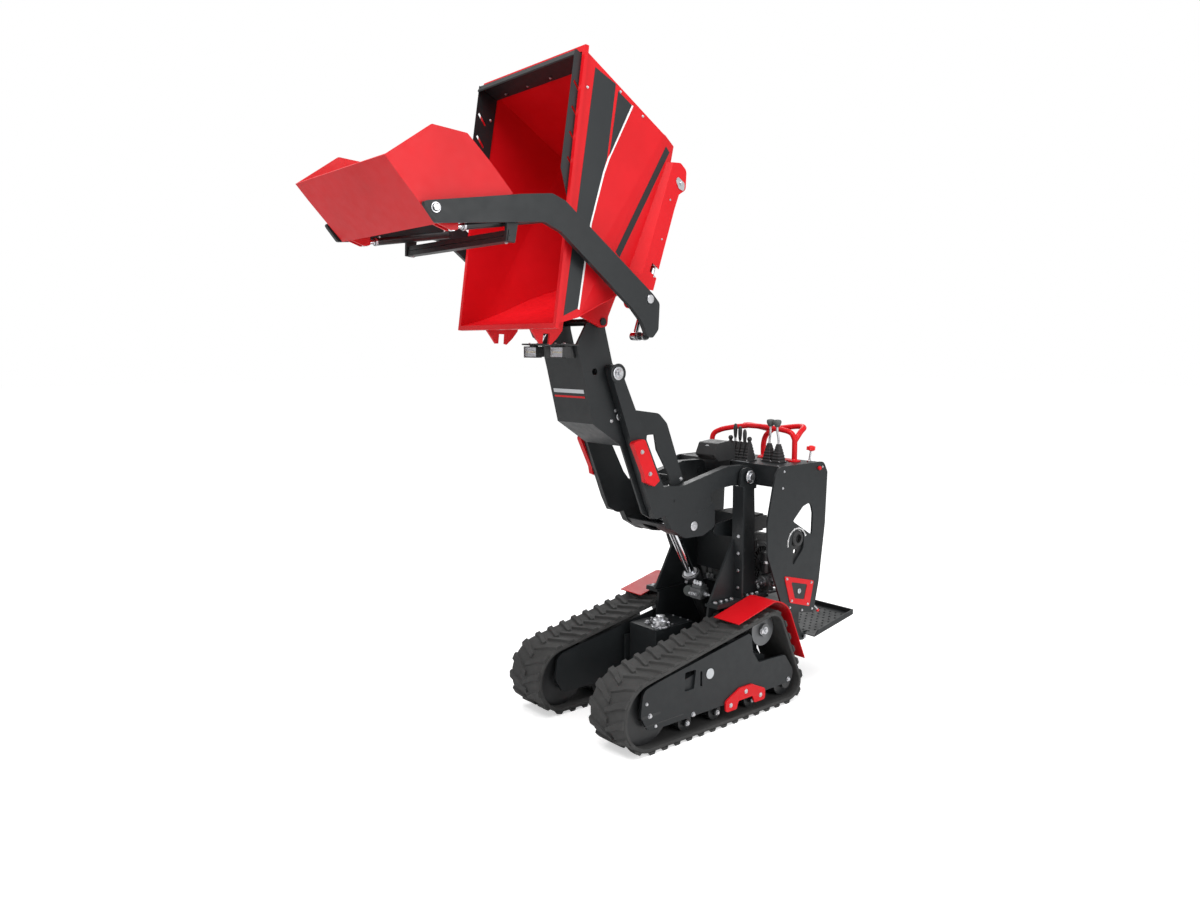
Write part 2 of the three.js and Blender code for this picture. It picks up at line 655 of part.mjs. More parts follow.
function channel(s) {
  const { top, low, side, wall, width } = CHANNEL;
  const { pivot: r } = ARM;
  const [a, b] = top;
  const lift = 70;
  const inside = side - width;
  const raw = slab([a, ...low, b, [b[0], b[1] + lift], [a[0], a[1] + lift]], s * inside, s * side);
  const along = new THREE.Vector3(0, b[0] - a[0], b[1] - a[1]);
  const slope = along.cross(new THREE.Vector3(-s, 0, 1)).multiplyScalar(s).normalize();
  const offset = slope.dot(new THREE.Vector3(s * side, a[0], a[1]));
  const roofed = raw.trimByPlane([-slope.x, -slope.y, -slope.z], -offset);
  const room = slab(
    [[100, a[1] + 14], [b[0] - wall, b[1] - wall], [b[0] - wall, -640], [100, -640]],
    s * (inside + wall), s * (side - wall),
  );
  const cheek = [[r.y - 34, r.z + 22, 24], [r.y - 30, r.z - 32, 24], [r.y + 14, r.z - 36, 10], [232, -470],
    [260, -430], [240, -330]];
  const cheeks = [inside, side - wall - 5].map((x) => slab(cheek, s * x, s * (x + wall + 5)));
  const boss = [inside - 6, side - wall - 5].map((x, i) => pin(r, s * x, s * (x + (i ? 36 : 15)), 27));
  const sweep = Math.hypot(ARM_CYLINDER.eye.y - r.y, ARM_CYLINDER.eye.z - r.z);
  const ring = (radius, from, to) => Array.from({ length: 9 }, (_, i) => {
    const angle = THREE.MathUtils.degToRad(from + ((to - from) * i) / 8);
    return [r.y + radius * Math.cos(angle), r.z + radius * Math.sin(angle)];
  });
  const crankSlot = slab([...ring(sweep - 18, -100, -18), ...ring(sweep + 18, -18, -100)],
    s * (side - wall - 8), s * (side + 8));
  return cut(
    join(cut(roofed, room), ...cheeks, ...boss, pin(ARM_CYLINDER.base, s * (inside + 1), s * (side - 1), 10)),
    crankSlot,
  );
}

const toSkip = ({ y, z }) => {
  const dy = y - skipFrame.position.y;
  const dz = z - skipFrame.position.z;
  return {
    y: dy * Math.cos(SKIP.tip) + dz * Math.sin(SKIP.tip),
    z: -dy * Math.sin(SKIP.tip) + dz * Math.cos(SKIP.tip),
  };
};
const tipEyeLocal = toSkip(PIVOT.tipEye);

function spillGuard() {
  const { half, wall } = SKIP;
  const out = half - wall - GAP;
  const thick = 3;
  const rear = slab([[978, 0], [984, 0], [955, -84], [949, -84]], -out, out);
  const top = slab([[984, -6], [984, 0], [962, 12], [958, 8], [978, -4]], -out, out);
  const sides = [1, -1].map((s) => {
    const slots = [560, 650, 740, 830].map((y) => [[y, -34], [y + 40, 2], [y + 48, -4], [y + 8, -40]]);
    return slab([[440, -24], [560, 24], [984, 6], [955, -84], [560, -62]], s * (out - thick), s * out, slots);
  });
  return join(rear, top, ...sides);
}

place("skip", skipShell(), RED, skipFrame);
place("spill_guard", spillGuard(), ANTHRACITE, skipFrame);

// ---------------------------------------------------------------- loader arms and shovel
function loaderArms() {
  const { inner, thick, pivot: r, shovel } = ARM;
  const profile = [
    [312, 595, 12], [366, 396], [415, 218, 30], [444, 95, 40], [430, 34, 40], [172, -420, 30], [142, -460, 24],
    [39, -466, 24], [5, -440, 16], [6, -412, 14], [59, -378, 20], [102, -324, 30], [320, 40, 40], [340, 119, 40],
    [254, 536, 12],
  ];
  const plates = [1, -1].map((s) =>
    join(
      slab(profile, s * inner, s * (inner + thick)),
      pin(r, s * (CHANNEL.side - CHANNEL.width + 2), s * (inner + thick + 6), 15),
      pin(shovel, s * (SHOVEL.half - 8), s * (inner + thick + 6), 13),
      pin(ARM_CYLINDER.eye, s * (ARM_CYLINDER.x + 18), s * (inner + 4), 14),
      pin(TILT_CYLINDER.base, s * (TILT_CYLINDER.x - 12), s * (inner + 1), 7),
      slab([[CROSS.y - 20, CROSS.z - 18], [328, CROSS.z - 24], [326, CROSS.z + 24], [CROSS.y - 20, CROSS.z + 18]],
        s * (inner - 12), s * (inner + 1)),
    ),
  );
  const crossBar = (y) => block(-inner - 4, inner + 4, y, y + 18, CROSS.z - 14, CROSS.z + 14);
  return join(
    ...plates,
    crossBar(CROSS.y - 19), crossBar(CROSS.y + 1), block(-inner - 4, inner + 4, CROSS.y - 3, CROSS.y + 3, CROSS.z - 8, CROSS.z + 8),
  );
}

const shovelOutline = [
  [429, 721], [381, 669], [255, 524], [415, 239], [499, 341, 12], [568, 436, 12], [563, 568, 12],
];

function shovelBody() {
  const { half, plate } = SHOVEL;
  const t = plate;
  const cavity = [
    [429 + 4, 721 - 8], [381 + 5, 669 - 2], [255 + 8, 524 + 1], [415 + 6, 239 + 4], [700, 239], [700, 800],
    [470, 760],
  ];
  const shell = cut(slab(shovelOutline, -half, half), slab(cavity, -half + t, half - t));
  const s0 = ARM.shovel;
  const eye = TILT_CYLINDER.eye;
  const lugs = [1, -1].flatMap((s) => [-1, 1].map((k) =>
    slab([[eye.y - 14, eye.z + 10, 10], [eye.y - 8, eye.z - 16, 12], [eye.y + 14, eye.z - 12, 8],
      [302, 440], [262, 516]], s * TILT_CYLINDER.x + k * 12, s * TILT_CYLINDER.x + k * 19)));
  return cut(
    join(shell, ...lugs),
    [1, -1].map((s) => pin(s0, s * (half - 30), s * (half + 20), 13.5)),
  );
}

place("loader_arms", loaderArms(), ANTHRACITE, skipFrame);
place("shovel", shovelBody(), RED, skipFrame);

function armCylinder(side) {
  const { x, base, eye, barrel, rod } = ARM_CYLINDER;
  const [body, stem] = cylinder(base, eye, side * x, barrel, rod, 370, 14);
  return [
    cut(body, pin(base, side * x - 60, side * x + 60, 10.3)),
    stem,
  ];
}
function tiltCylinder(side) {
  const { x, base, eye, barrel, rod } = TILT_CYLINDER;
  const [body, stem] = cylinder(base, eye, side * x, barrel, rod, 355, 10);
  return [cut(body, pin(base, side * x - 60, side * x + 60, 7.3)), stem];
}
bothSides("tilt_barrel", (side) => tiltCylinder(side)[0], BLACK, skipFrame);
bothSides("tilt_rod", (side) => tiltCylinder(side)[1], STEEL, skipFrame);

bothSides("arm_barrel", (side) => armCylinder(side)[0], BLACK, skipFrame);
bothSides("arm_rod", (side) => armCylinder(side)[1], STEEL, skipFrame);

// ---------------------------------------------------------------- console and controls
function consoleSide(side) {
  const { half, plate } = CONSOLE;
  const profile = [
    [826, 1100, 26], [1150, 1101, 36], [1180, 1049, 14], [1171, 801], [1134, 524], [1098, 375, 14],
    [923, 411, 14], [854, 467], [754, 697, 60], [749, 852, 60], [797, 1060, 20],
  ];
  const sail = [[1058, 918, 30], [1000, 900, 20], [929, 838, 8], [1073, 755, 10], [1076, 860, 20]];
  const drop = [[938, 628, 6], [1010, 700, 40], [1015, 790, 40], [930, 790, 40], [920, 710, 30]];
  return slab(profile, side * (half - plate), side * half, [sail, drop]);
}

function deck() {
  const { half, plate, top, rear } = CONSOLE;
  const w = half - plate - GAP;
  return join(
    block(-w, w, 842, rear - 34, top - 12, top - 2),
    block(-w, w, 842, 852, 1000, top - 4),
    block(-w, w, rear - 44, rear - 34, 1020, top - 4),
  );
}

function leverBank() {
  const z = CONSOLE.top - 2 + GAP;
  const levers = [0, 1, 2, 3, 4].map((i) => {
    const x = -40 + i * 30;
    const tall = i > 0 && i < 4;
    const topZ = tall ? 1285 - i * 12 : 1215;
    return bar([x, 905, z + 90], [x, 905, topZ], tall ? 9 : 12, 12);
  });
  return join(
    slab([[868, z], [942, z], [932, z + 92, 8], [878, z + 92, 8]], -58, 98),
    ...levers,
  );
}

// the spool valve that hangs under the deck below its levers
function controlValve() {
  return join(
    block(-58, 98, 876, 946, 1030, CONSOLE.top - 2 - CONSOLE.plate - GAP),
    [-40, -10, 20, 50, 80].map((x) => bar([x, 905, 1008], [x, 905, 1031], 11, 12)),
  );
}

// the faceted housing ahead of the levers, on a foot on the tower's top plate
function instrumentPod() {
  const face = [[690, 1136, 10], [728, 1108, 10], [836, 1108, 6], [836, 1172, 10], [800, 1200, 12], [716, 1192, 14]];
  return join(slab(face, -70, 50), block(-40, 20, 830, 836, 1040 + GAP, 1110));
}

function travelLevers() {
  const z = CONSOLE.top - 2 + GAP;
  const boot = (x, y, lean) =>
    join(
      solid(new THREE.CylinderGeometry(12, 38, 84, 4, 1).rotateY(Math.PI / 4).rotateX(Math.PI / 2).translate(x, y, z + 42)),
      bar([x, y, z + 80], [x + lean, y - 8, 1276], 6, 10),
      bar([x + lean, y - 8, 1268], [x + lean, y - 8, 1302], 19, 14),
    );
  return join(boot(150, 968, 12), boot(206, 968, -4), block(120, 236, 938, 998, z, z + 6));
}

function handlebar() {
  const r = 13;
  const z = CONSOLE.top - 2 + GAP;
  return join(
    tube([[235, 1050, z], [235, 1050, 1175], [232, 1048, 1212], [196, 1047, 1240], [60, 1048, 1252], [-60, 1050, 1252],
      [-90, 1066, 1252], [-60, 1092, 1250], [60, 1100, 1236]], r, 24),
    tube([[234, 1051, 1195], [236, 1090, 1236], [228, 1125, 1256], [180, 1136, 1258], [60, 1100, 1240]], r, 13),
    tube([[60, 1100, 1240], [20, 1096, 1205], [10, 1090, 1160], [10, 1090, z]], r, 9),
    bar([235, 1050, z], [235, 1050, z + 10], 30),
    bar([10, 1090, z], [10, 1090, z + 10], 26),
    block(10, 235, 1044, 1098, z, z + 5),
    tube([[-60, 1050, 1251], [-140, 1040, 1240], [-210, 1010, 1222], [-240, 990, 1190], [-240, 990, z]], r, 13),
    bar([-240, 990, z], [-240, 990, z + 10], 26),
  );
}

bothSides("console_side", consoleSide, ANTHRACITE);
place("console_deck", deck(), ANTHRACITE);
place("lever_bank", leverBank(), BLACK);
place("control_valve", controlValve(), BLACK);
place("instrument_pod", instrumentPod(), BLACK);
place("travel_levers", travelLevers(), BLACK);
place("handlebar", handlebar(), RED);

// ---------------------------------------------------------------- stand-on platform
function platform() {
  const { half, length, plate, fold } = PLATFORM;
  const { y, z } = PIVOT.platform;
  const floorLine = [[y + 26, z + 6], [y + length, z + 62]];
  return join(
    sheet(floorLine, -plate, -half, half),
    [1, -1].map((s) => slab([[y + 26, z + 1], [y + length, z + 57], [y + length, z + 57 + fold], [y + 60, z + 6 + fold]],
      s * (half - plate), s * half)),
    slab([[y + length - plate, z + 56], [y + length, z + 57], [y + length, z + 57 + fold], [y + length - plate, z + 56 + fold]],
      -half, half),
    [1, -1].map((s) => slab([[y - 16, z + 16, 12], [y - 16, z - 16, 12], [y + 60, z - 4], [y + 60, z + 14]], s * 222, s * 232)),
    [1, -1].map((s) => pin(PIVOT.platform, s * 222, s * 262, 8)),
  );
}
place("platform", platform(), ANTHRACITE);

// ---------------------------------------------------------------- origin
const whole = new THREE.Box3().setFromObject(machine, true);
machine.position.set(0, -(whole.min.y + whole.max.y) / 2, -whole.min.z);

export default machine;
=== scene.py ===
# Tracked site dumper: finishes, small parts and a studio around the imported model.
# Shapes are written in millimetres and brought to the frame's metres by one of two matrices.
import json
import math

import bmesh
import bpy
from mathutils import Matrix, Vector


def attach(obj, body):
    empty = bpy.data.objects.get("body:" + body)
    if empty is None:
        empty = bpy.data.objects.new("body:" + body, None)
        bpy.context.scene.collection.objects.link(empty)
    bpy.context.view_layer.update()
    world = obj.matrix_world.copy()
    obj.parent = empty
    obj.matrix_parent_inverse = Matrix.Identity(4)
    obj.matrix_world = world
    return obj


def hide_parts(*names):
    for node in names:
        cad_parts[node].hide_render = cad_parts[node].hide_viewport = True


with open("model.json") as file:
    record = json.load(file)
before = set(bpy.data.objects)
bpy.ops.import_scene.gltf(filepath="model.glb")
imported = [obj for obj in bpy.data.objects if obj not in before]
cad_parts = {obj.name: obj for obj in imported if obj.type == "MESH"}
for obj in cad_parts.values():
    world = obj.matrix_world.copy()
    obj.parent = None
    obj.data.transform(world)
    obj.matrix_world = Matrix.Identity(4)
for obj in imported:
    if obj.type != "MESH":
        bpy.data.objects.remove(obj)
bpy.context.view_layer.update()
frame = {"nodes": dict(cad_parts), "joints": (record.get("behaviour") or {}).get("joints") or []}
print("stage: frame loaded")

hinges = {joint["name"]: Vector(joint["pos_m"]) for joint in frame["joints"] if "pos_m" in joint}

machine = {
    "liftPivot": (778, 1045),  # y, z of the lift arm's pivot, from under the front idler
    "skipPivot": (64, -380),  # the skip's hinge, from its front lip with the rim level
    "tip": 83.4,  # degrees the skip is tipped forward at rest
}

millimetres = Matrix.Scale(0.001, 4)
onMachine = Matrix.Translation((0, hinges["lift_arm_pivot"].y - machine["liftPivot"][0] / 1000,
    0)) @ millimetres
tipTurn = Matrix.Rotation(math.radians(machine["tip"]), 4, "X")
lipPoint = hinges["skip_pivot"] - tipTurn @ (Vector((0, *machine["skipPivot"])) / 1000)
lipPoint.x = 0
onSkip = Matrix.Translation(lipPoint) @ tipTurn @ millimetres


def addNode(tree, kind, **values):
    node = tree.nodes.new("ShaderNode" + kind)
    for key, value in values.items():
        if key in node.inputs:
            node.inputs[key].default_value = value
        else:
            setattr(node, key, value)
    return node


def startMaterial(name):
    made = bpy.data.materials.new(name)
    made.use_nodes = True
    tree = made.node_tree
    tree.nodes.clear()
    shader = addNode(tree, "BsdfPrincipled")
    out = addNode(tree, "OutputMaterial")
    tree.links.new(shader.outputs[0], out.inputs["Surface"])
    return made, tree, shader


def noiseAt(tree, scale, detail=3.0, roughness=0.55, stretch=(1, 1, 1)):
    place = addNode(tree, "TexCoord")
    mapping = addNode(tree, "Mapping")
    mapping.inputs["Scale"].default_value = stretch
    noise = addNode(tree, "TexNoise", Scale=scale, Detail=detail, Roughness=roughness)
    tree.links.new(place.outputs["Object"], mapping.inputs["Vector"])
    tree.links.new(mapping.outputs["Vector"], noise.inputs["Vector"])
    return noise.outputs["Fac"]


def remap(tree, source, fromLow, fromHigh, toLow, toHigh):
    node = addNode(tree, "MapRange")
    for name, value in (("From Min", fromLow), ("From Max", fromHigh), ("To Min", toLow),
        ("To Max", toHigh)):
        node.inputs[name].default_value = value
    tree.links.new(source, node.inputs["Value"])
    return node.outputs["Result"]


def colourSockets(node):
    return [socket for socket in node.inputs if socket.type == "RGBA"]


def blendColours(tree, factor, first, second):
    node = tree.nodes.new("ShaderNodeMix")
    node.data_type = "RGBA"
    tree.links.new(factor, node.inputs[0])
    for socket, value in zip(colourSockets(node), (first, second)):
        if isinstance(value, tuple):
            socket.default_value = (*value, 1)
        else:
            tree.links.new(value, socket)
    return next(socket for socket in node.outputs if socket.type == "RGBA")


def edgeMask(tree, radius, low=0.80, high=0.985):
    # 1 on a convex or concave edge, 0 on a flat face
    bevel = addNode(tree, "Bevel", samples=4)
    bevel.inputs["Radius"].default_value = radius
    flat = addNode(tree, "NewGeometry")
    dot = addNode(tree, "VectorMath", operation="DOT_PRODUCT")
    tree.links.new(bevel.outputs["Normal"], dot.inputs[0])
    tree.links.new(flat.outputs["Normal"], dot.inputs[1])
    return remap(tree, dot.outputs["Value"], low, high, 1, 0)


def addBump(tree, shader, height, strength, distance):
    bump = addNode(tree, "Bump", Strength=strength, Distance=distance)
    tree.links.new(height, bump.inputs["Height"])
    tree.links.new(bump.outputs["Normal"], shader.inputs["Normal"])


def finishMaterial(name, look):
    made, tree, shader = startMaterial(name)
    shader.inputs["Metallic"].default_value = look.get("metal", 0)
    shader.inputs["Coat Weight"].default_value = look.get("coat", 0)
    shader.inputs["Coat Roughness"].default_value = look.get("coatRoughness", 0.1)
    shader.inputs["Specular IOR Level"].default_value = look.get("specular", 0.5)
    broad = noiseAt(tree, look.get("cloud", 4), 4)
    colour = blendColours(tree, remap(tree, broad, 0.3, 0.7, 0, 1), look["colour"], look["shade"])
    # the edges take a lighter colour in patches: a painted edge highlight where rounded edges would catch
    # the light, partly also edge wear
    if "edgeWearAndHighlight" in look:
        edges = edgeMask(tree, look.get("edge", 0.0018))
        patches = remap(tree, noiseAt(tree, 38, 5), 0.42, 0.66, 0, look.get("edgeWearAndHighlightAmount", 0.5))
        both = addNode(tree, "Math", operation="MULTIPLY")
        tree.links.new(edges, both.inputs[0])
        tree.links.new(patches, both.inputs[1])
        colour = blendColours(tree, both.outputs[0], colour, look["edgeWearAndHighlight"])
    if "dust" in look:
        specks = remap(tree, noiseAt(tree, 19, 6, 0.7), 0.5, 0.8, 0, look.get("dustAmount", 0.25))
        colour = blendColours(tree, specks, colour, look["dust"])
    tree.links.new(colour, shader.inputs["Base Color"])
    low, high = look["rough"]
    tree.links.new(remap(tree, noiseAt(tree, look.get("cloudFine", 26), 5), 0.3, 0.7, low, high),
        shader.inputs["Roughness"])
    grain = noiseAt(tree, look.get("grain", 600), look.get("grainDetail", 2), 0.5,
        look.get("stretch", (1, 1, 1)))
    addBump(tree, shader, grain, look.get("bump", 0.08), look.get("bumpDepth", 0.0006))
    return made


# each look's lighter edge colour is partly a painted edge highlight and partly edge wear
looks = {
    "redPaint": {"colour": (0.66, 0.007, 0.013), "shade": (0.57, 0.005, 0.009), "rough": (0.32, 0.44),
    "coat": 0.05,
                 "coatRoughness": 0.12, "specular": 0.2, "edgeWearAndHighlight": (0.70, 0.05, 0.05),
                 "edgeWearAndHighlightAmount": 0.35, "grain": 420,
                 "bump": 0.04},
    "darkPaint": {"colour": (0.016, 0.0185, 0.020), "shade": (0.012, 0.014, 0.0155),
    "rough": (0.38, 0.52), "coat": 0.05,
                  "coatRoughness": 0.25, "specular": 0.32, "edgeWearAndHighlight": (0.085, 0.09, 0.095), "edgeWearAndHighlightAmount": 0.45,
                  "grain": 520, "bump": 0.06},
    "trackRubber": {"colour": (0.046, 0.046, 0.045), "shade": (0.036, 0.036, 0.036), "rough": (0.66, 0.86),
                    "specular": 0.35, "edgeWearAndHighlight": (0.095, 0.095, 0.093), "edgeWearAndHighlightAmount": 0.5, "edge": 0.0024,
                    "dust": (0.10, 0.098, 0.094),
                    "dustAmount": 0.16, "grain": 260, "grainDetail": 6, "bump": 0.22, "bumpDepth": 0.0012},
    "zincPlate": {"colour": (0.66, 0.66, 0.67), "shade": (0.56, 0.57, 0.60), "rough": (0.24, 0.40),
    "metal": 1,
                  "cloud": 40, "grain": 900, "bump": 0.05},
    "chromeRod": {"colour": (0.78, 0.79, 0.81), "shade": (0.72, 0.73, 0.76), "rough": (0.07, 0.15),
    "metal": 1,
                  "grain": 300, "stretch": (1, 6, 6), "bump": 0.02},
    "blackSteel": {"colour": (0.016, 0.017, 0.018), "shade": (0.010, 0.011, 0.012), "rough": (0.34, 0.5),
                   "coat": 0.15, "edgeWearAndHighlight": (0.09, 0.09, 0.095), "edgeWearAndHighlightAmount": 0.4, "grain": 500,
                   "bump": 0.08},
    "castMetal": {"colour": (0.20, 0.205, 0.21), "shade": (0.13, 0.135, 0.14), "rough": (0.42, 0.62),
    "metal": 0.85,
                  "edgeWearAndHighlight": (0.5, 0.5, 0.5), "grain": 340, "grainDetail": 5, "bump": 0.32,
                  "bumpDepth": 0.001},
    "blackPlastic": {"colour": (0.018, 0.019, 0.020), "shade": (0.013, 0.013, 0.014), "rough": (0.42, 0.58),
                     "edgeWearAndHighlight": (0.07, 0.07, 0.072), "edgeWearAndHighlightAmount": 0.3, "grain": 950, "grainDetail": 4,
                     "bump": 0.2},
    "bootRubber": {"colour": (0.021, 0.021, 0.022), "shade": (0.015, 0.015, 0.016), "rough": (0.58, 0.74),
                   "edgeWearAndHighlight": (0.06, 0.06, 0.06), "edgeWearAndHighlightAmount": 0.4, "grain": 700, "bump": 0.15},
    "greyGrip": {"colour": (0.082, 0.092, 0.088), "shade": (0.066, 0.074, 0.072), "rough": (0.5, 0.66),
                 "grain": 800, "bump": 0.2},
    "redPlastic": {"colour": (0.74, 0.008, 0.010), "shade": (0.66, 0.006, 0.008), "rough": (0.30, 0.42),
                   "grain": 800, "bump": 0.1},
    "darkFilm": {"colour": (0.018, 0.021, 0.023), "shade": (0.015, 0.018, 0.020), "rough": (0.32, 0.40),
                 "specular": 0.32,
                 "grain": 1200, "bump": 0.04},
    "whiteFilm": {"colour": (0.86, 0.86, 0.86), "shade": (0.80, 0.80, 0.81), "rough": (0.30, 0.40),
                  "grain": 1200, "bump": 0.04},
    "silverFilm": {"colour": (0.58, 0.60, 0.62), "shade": (0.50, 0.52, 0.54), "rough": (0.26, 0.36),
    "metal": 0.6,
                   "grain": 1200, "bump": 0.04},
    "diodeYellow": {"colour": (0.78, 0.62, 0.16), "shade": (0.72, 0.56, 0.12), "rough": (0.3, 0.4),
    "grain": 900,
                    "bump": 0.05},
    "exhaustSteel": {"colour": (0.22, 0.20, 0.18), "shade": (0.13, 0.115, 0.10), "rough": (0.45, 0.7),
    "metal": 0.9,
                     "cloud": 18, "grain": 300, "bump": 0.2},
}
finish = {name: finishMaterial(name, look) for name, look in looks.items()}


def lensMaterial():
    made, tree, shader = startMaterial("lampLens")
    shader.inputs["Transmission Weight"].default_value = 0.85
    shader.inputs["IOR"].default_value = 1.49
    cloud = noiseAt(tree, 30)
    tree.links.new(blendColours(tree, cloud, (0.95, 0.96, 0.98), (0.88, 0.90, 0.93)),
        shader.inputs["Base Color"])
    tree.links.new(remap(tree, cloud, 0.3, 0.7, 0.03, 0.07), shader.inputs["Roughness"])
    addBump(tree, shader, noiseAt(tree, 220), 0.04, 0.0005)
    return made


finish["lampLens"] = lensMaterial()
print("stage: materials")


def smoothShading():
    # edges flatter than the angle are shaded smooth, the others stay sharp
    tree = bpy.data.node_groups.new("smoothByAngle", "GeometryNodeTree")
    tree.is_modifier = True
    for direction in ("INPUT", "OUTPUT"):
        tree.interface.new_socket("Geometry", in_out=direction, socket_type="NodeSocketGeometry")
    start = tree.nodes.new("NodeGroupInput")
    end = tree.nodes.new("NodeGroupOutput")
    angle = tree.nodes.new("GeometryNodeInputMeshEdgeAngle")
    flatter = tree.nodes.new("FunctionNodeCompare")
    flatter.data_type = "FLOAT"
    flatter.operation = "LESS_THAN"
    flatter.inputs["B"].default_value = math.radians(32)
    tree.links.new(angle.outputs["Unsigned Angle"], flatter.inputs["A"])
    edges = tree.nodes.new("GeometryNodeSetShadeSmooth")
    edges.domain = "EDGE"
    faces = tree.nodes.new("GeometryNodeSetShadeSmooth")
    faces.domain = "FACE"
    tree.links.new(start.outputs[0], edges.inputs["Geometry"])
    tree.links.new(flatter.outputs[0], edges.inputs["Shade Smooth"])
    tree.links.new(edges.outputs[0], faces.inputs["Geometry"])
    tree.links.new(faces.outputs[0], end.inputs[0])
    return tree


smoothGroup = smoothShading()


def dressEdges(piece, rounding, weld=False):
    if weld:
        welded = piece.modifiers.new("weld", "WELD")
        welded.merge_threshold = 0.00002
    if rounding:
        bevel = piece.modifiers.new("edge", "BEVEL")
        bevel.width = rounding / 1000
        bevel.segments = 2
        bevel.limit_method = "ANGLE"
        bevel.angle_limit = math.radians(35)
        bevel.use_clamp_overlap = True
    smooth = piece.modifiers.new("smooth", "NODES")
    smooth.node_group = smoothGroup
    if rounding:
        # large faces keep their flat shading beside the rounded edges
        weighted = piece.modifiers.new("flat", "WEIGHTED_NORMAL")
        weighted.keep_sharp = True


def roundedOutline(points):
    # [a, b] or [a, b, corner radius] points become a plain outline with round corners
    line = []
    count = len(points)
    for i, point in enumerate(points):
        corner = Vector(point[:2])
        radius = point[2] if len(point) > 2 else 0
        if not radius:
            line.append(corner)
            continue
        before = Vector(points[i - 1][:2]) - corner
        after = Vector(points[(i + 1) % count][:2]) - corner
        half = before.angle(after) / 2
        back = min(radius / math.tan(half), before.length * 0.49, after.length * 0.49)
        start = corner + before.normalized() * back
        end = corner + after.normalized() * back
        steps = 6
        for k in range(steps + 1):
            t = k / steps
            line.append(start * (1 - t) ** 2 + corner * 2 * t * (1 - t) + end * t * t)
    return line


def smoothLine(points, steps=8):
    # a Catmull-Rom curve through the points
    path = [Vector(p) for p in points]
    padded = [path[0] * 2 - path[1], *path, path[-1] * 2 - path[-2]]
    line = []
    for a, b, c, d in zip(padded, padded[1:], padded[2:], padded[3:]):
        for k in range(steps):
            t = k / steps
            line.append(0.5 * ((2 * b) + (c - a) * t + (2 * a - 5 * b + 4 * c - d) * t * t
                               + (3 * b - a - 3 * c + d) * t ** 3))
    line.append(path[-1])
    return line


def circle(y, z, radius, sides=32):
    return [(y + radius * math.cos(2 * math.pi * i / sides), z + radius * math.sin(2 * math.pi * i / sides))
            for i in range(sides)]


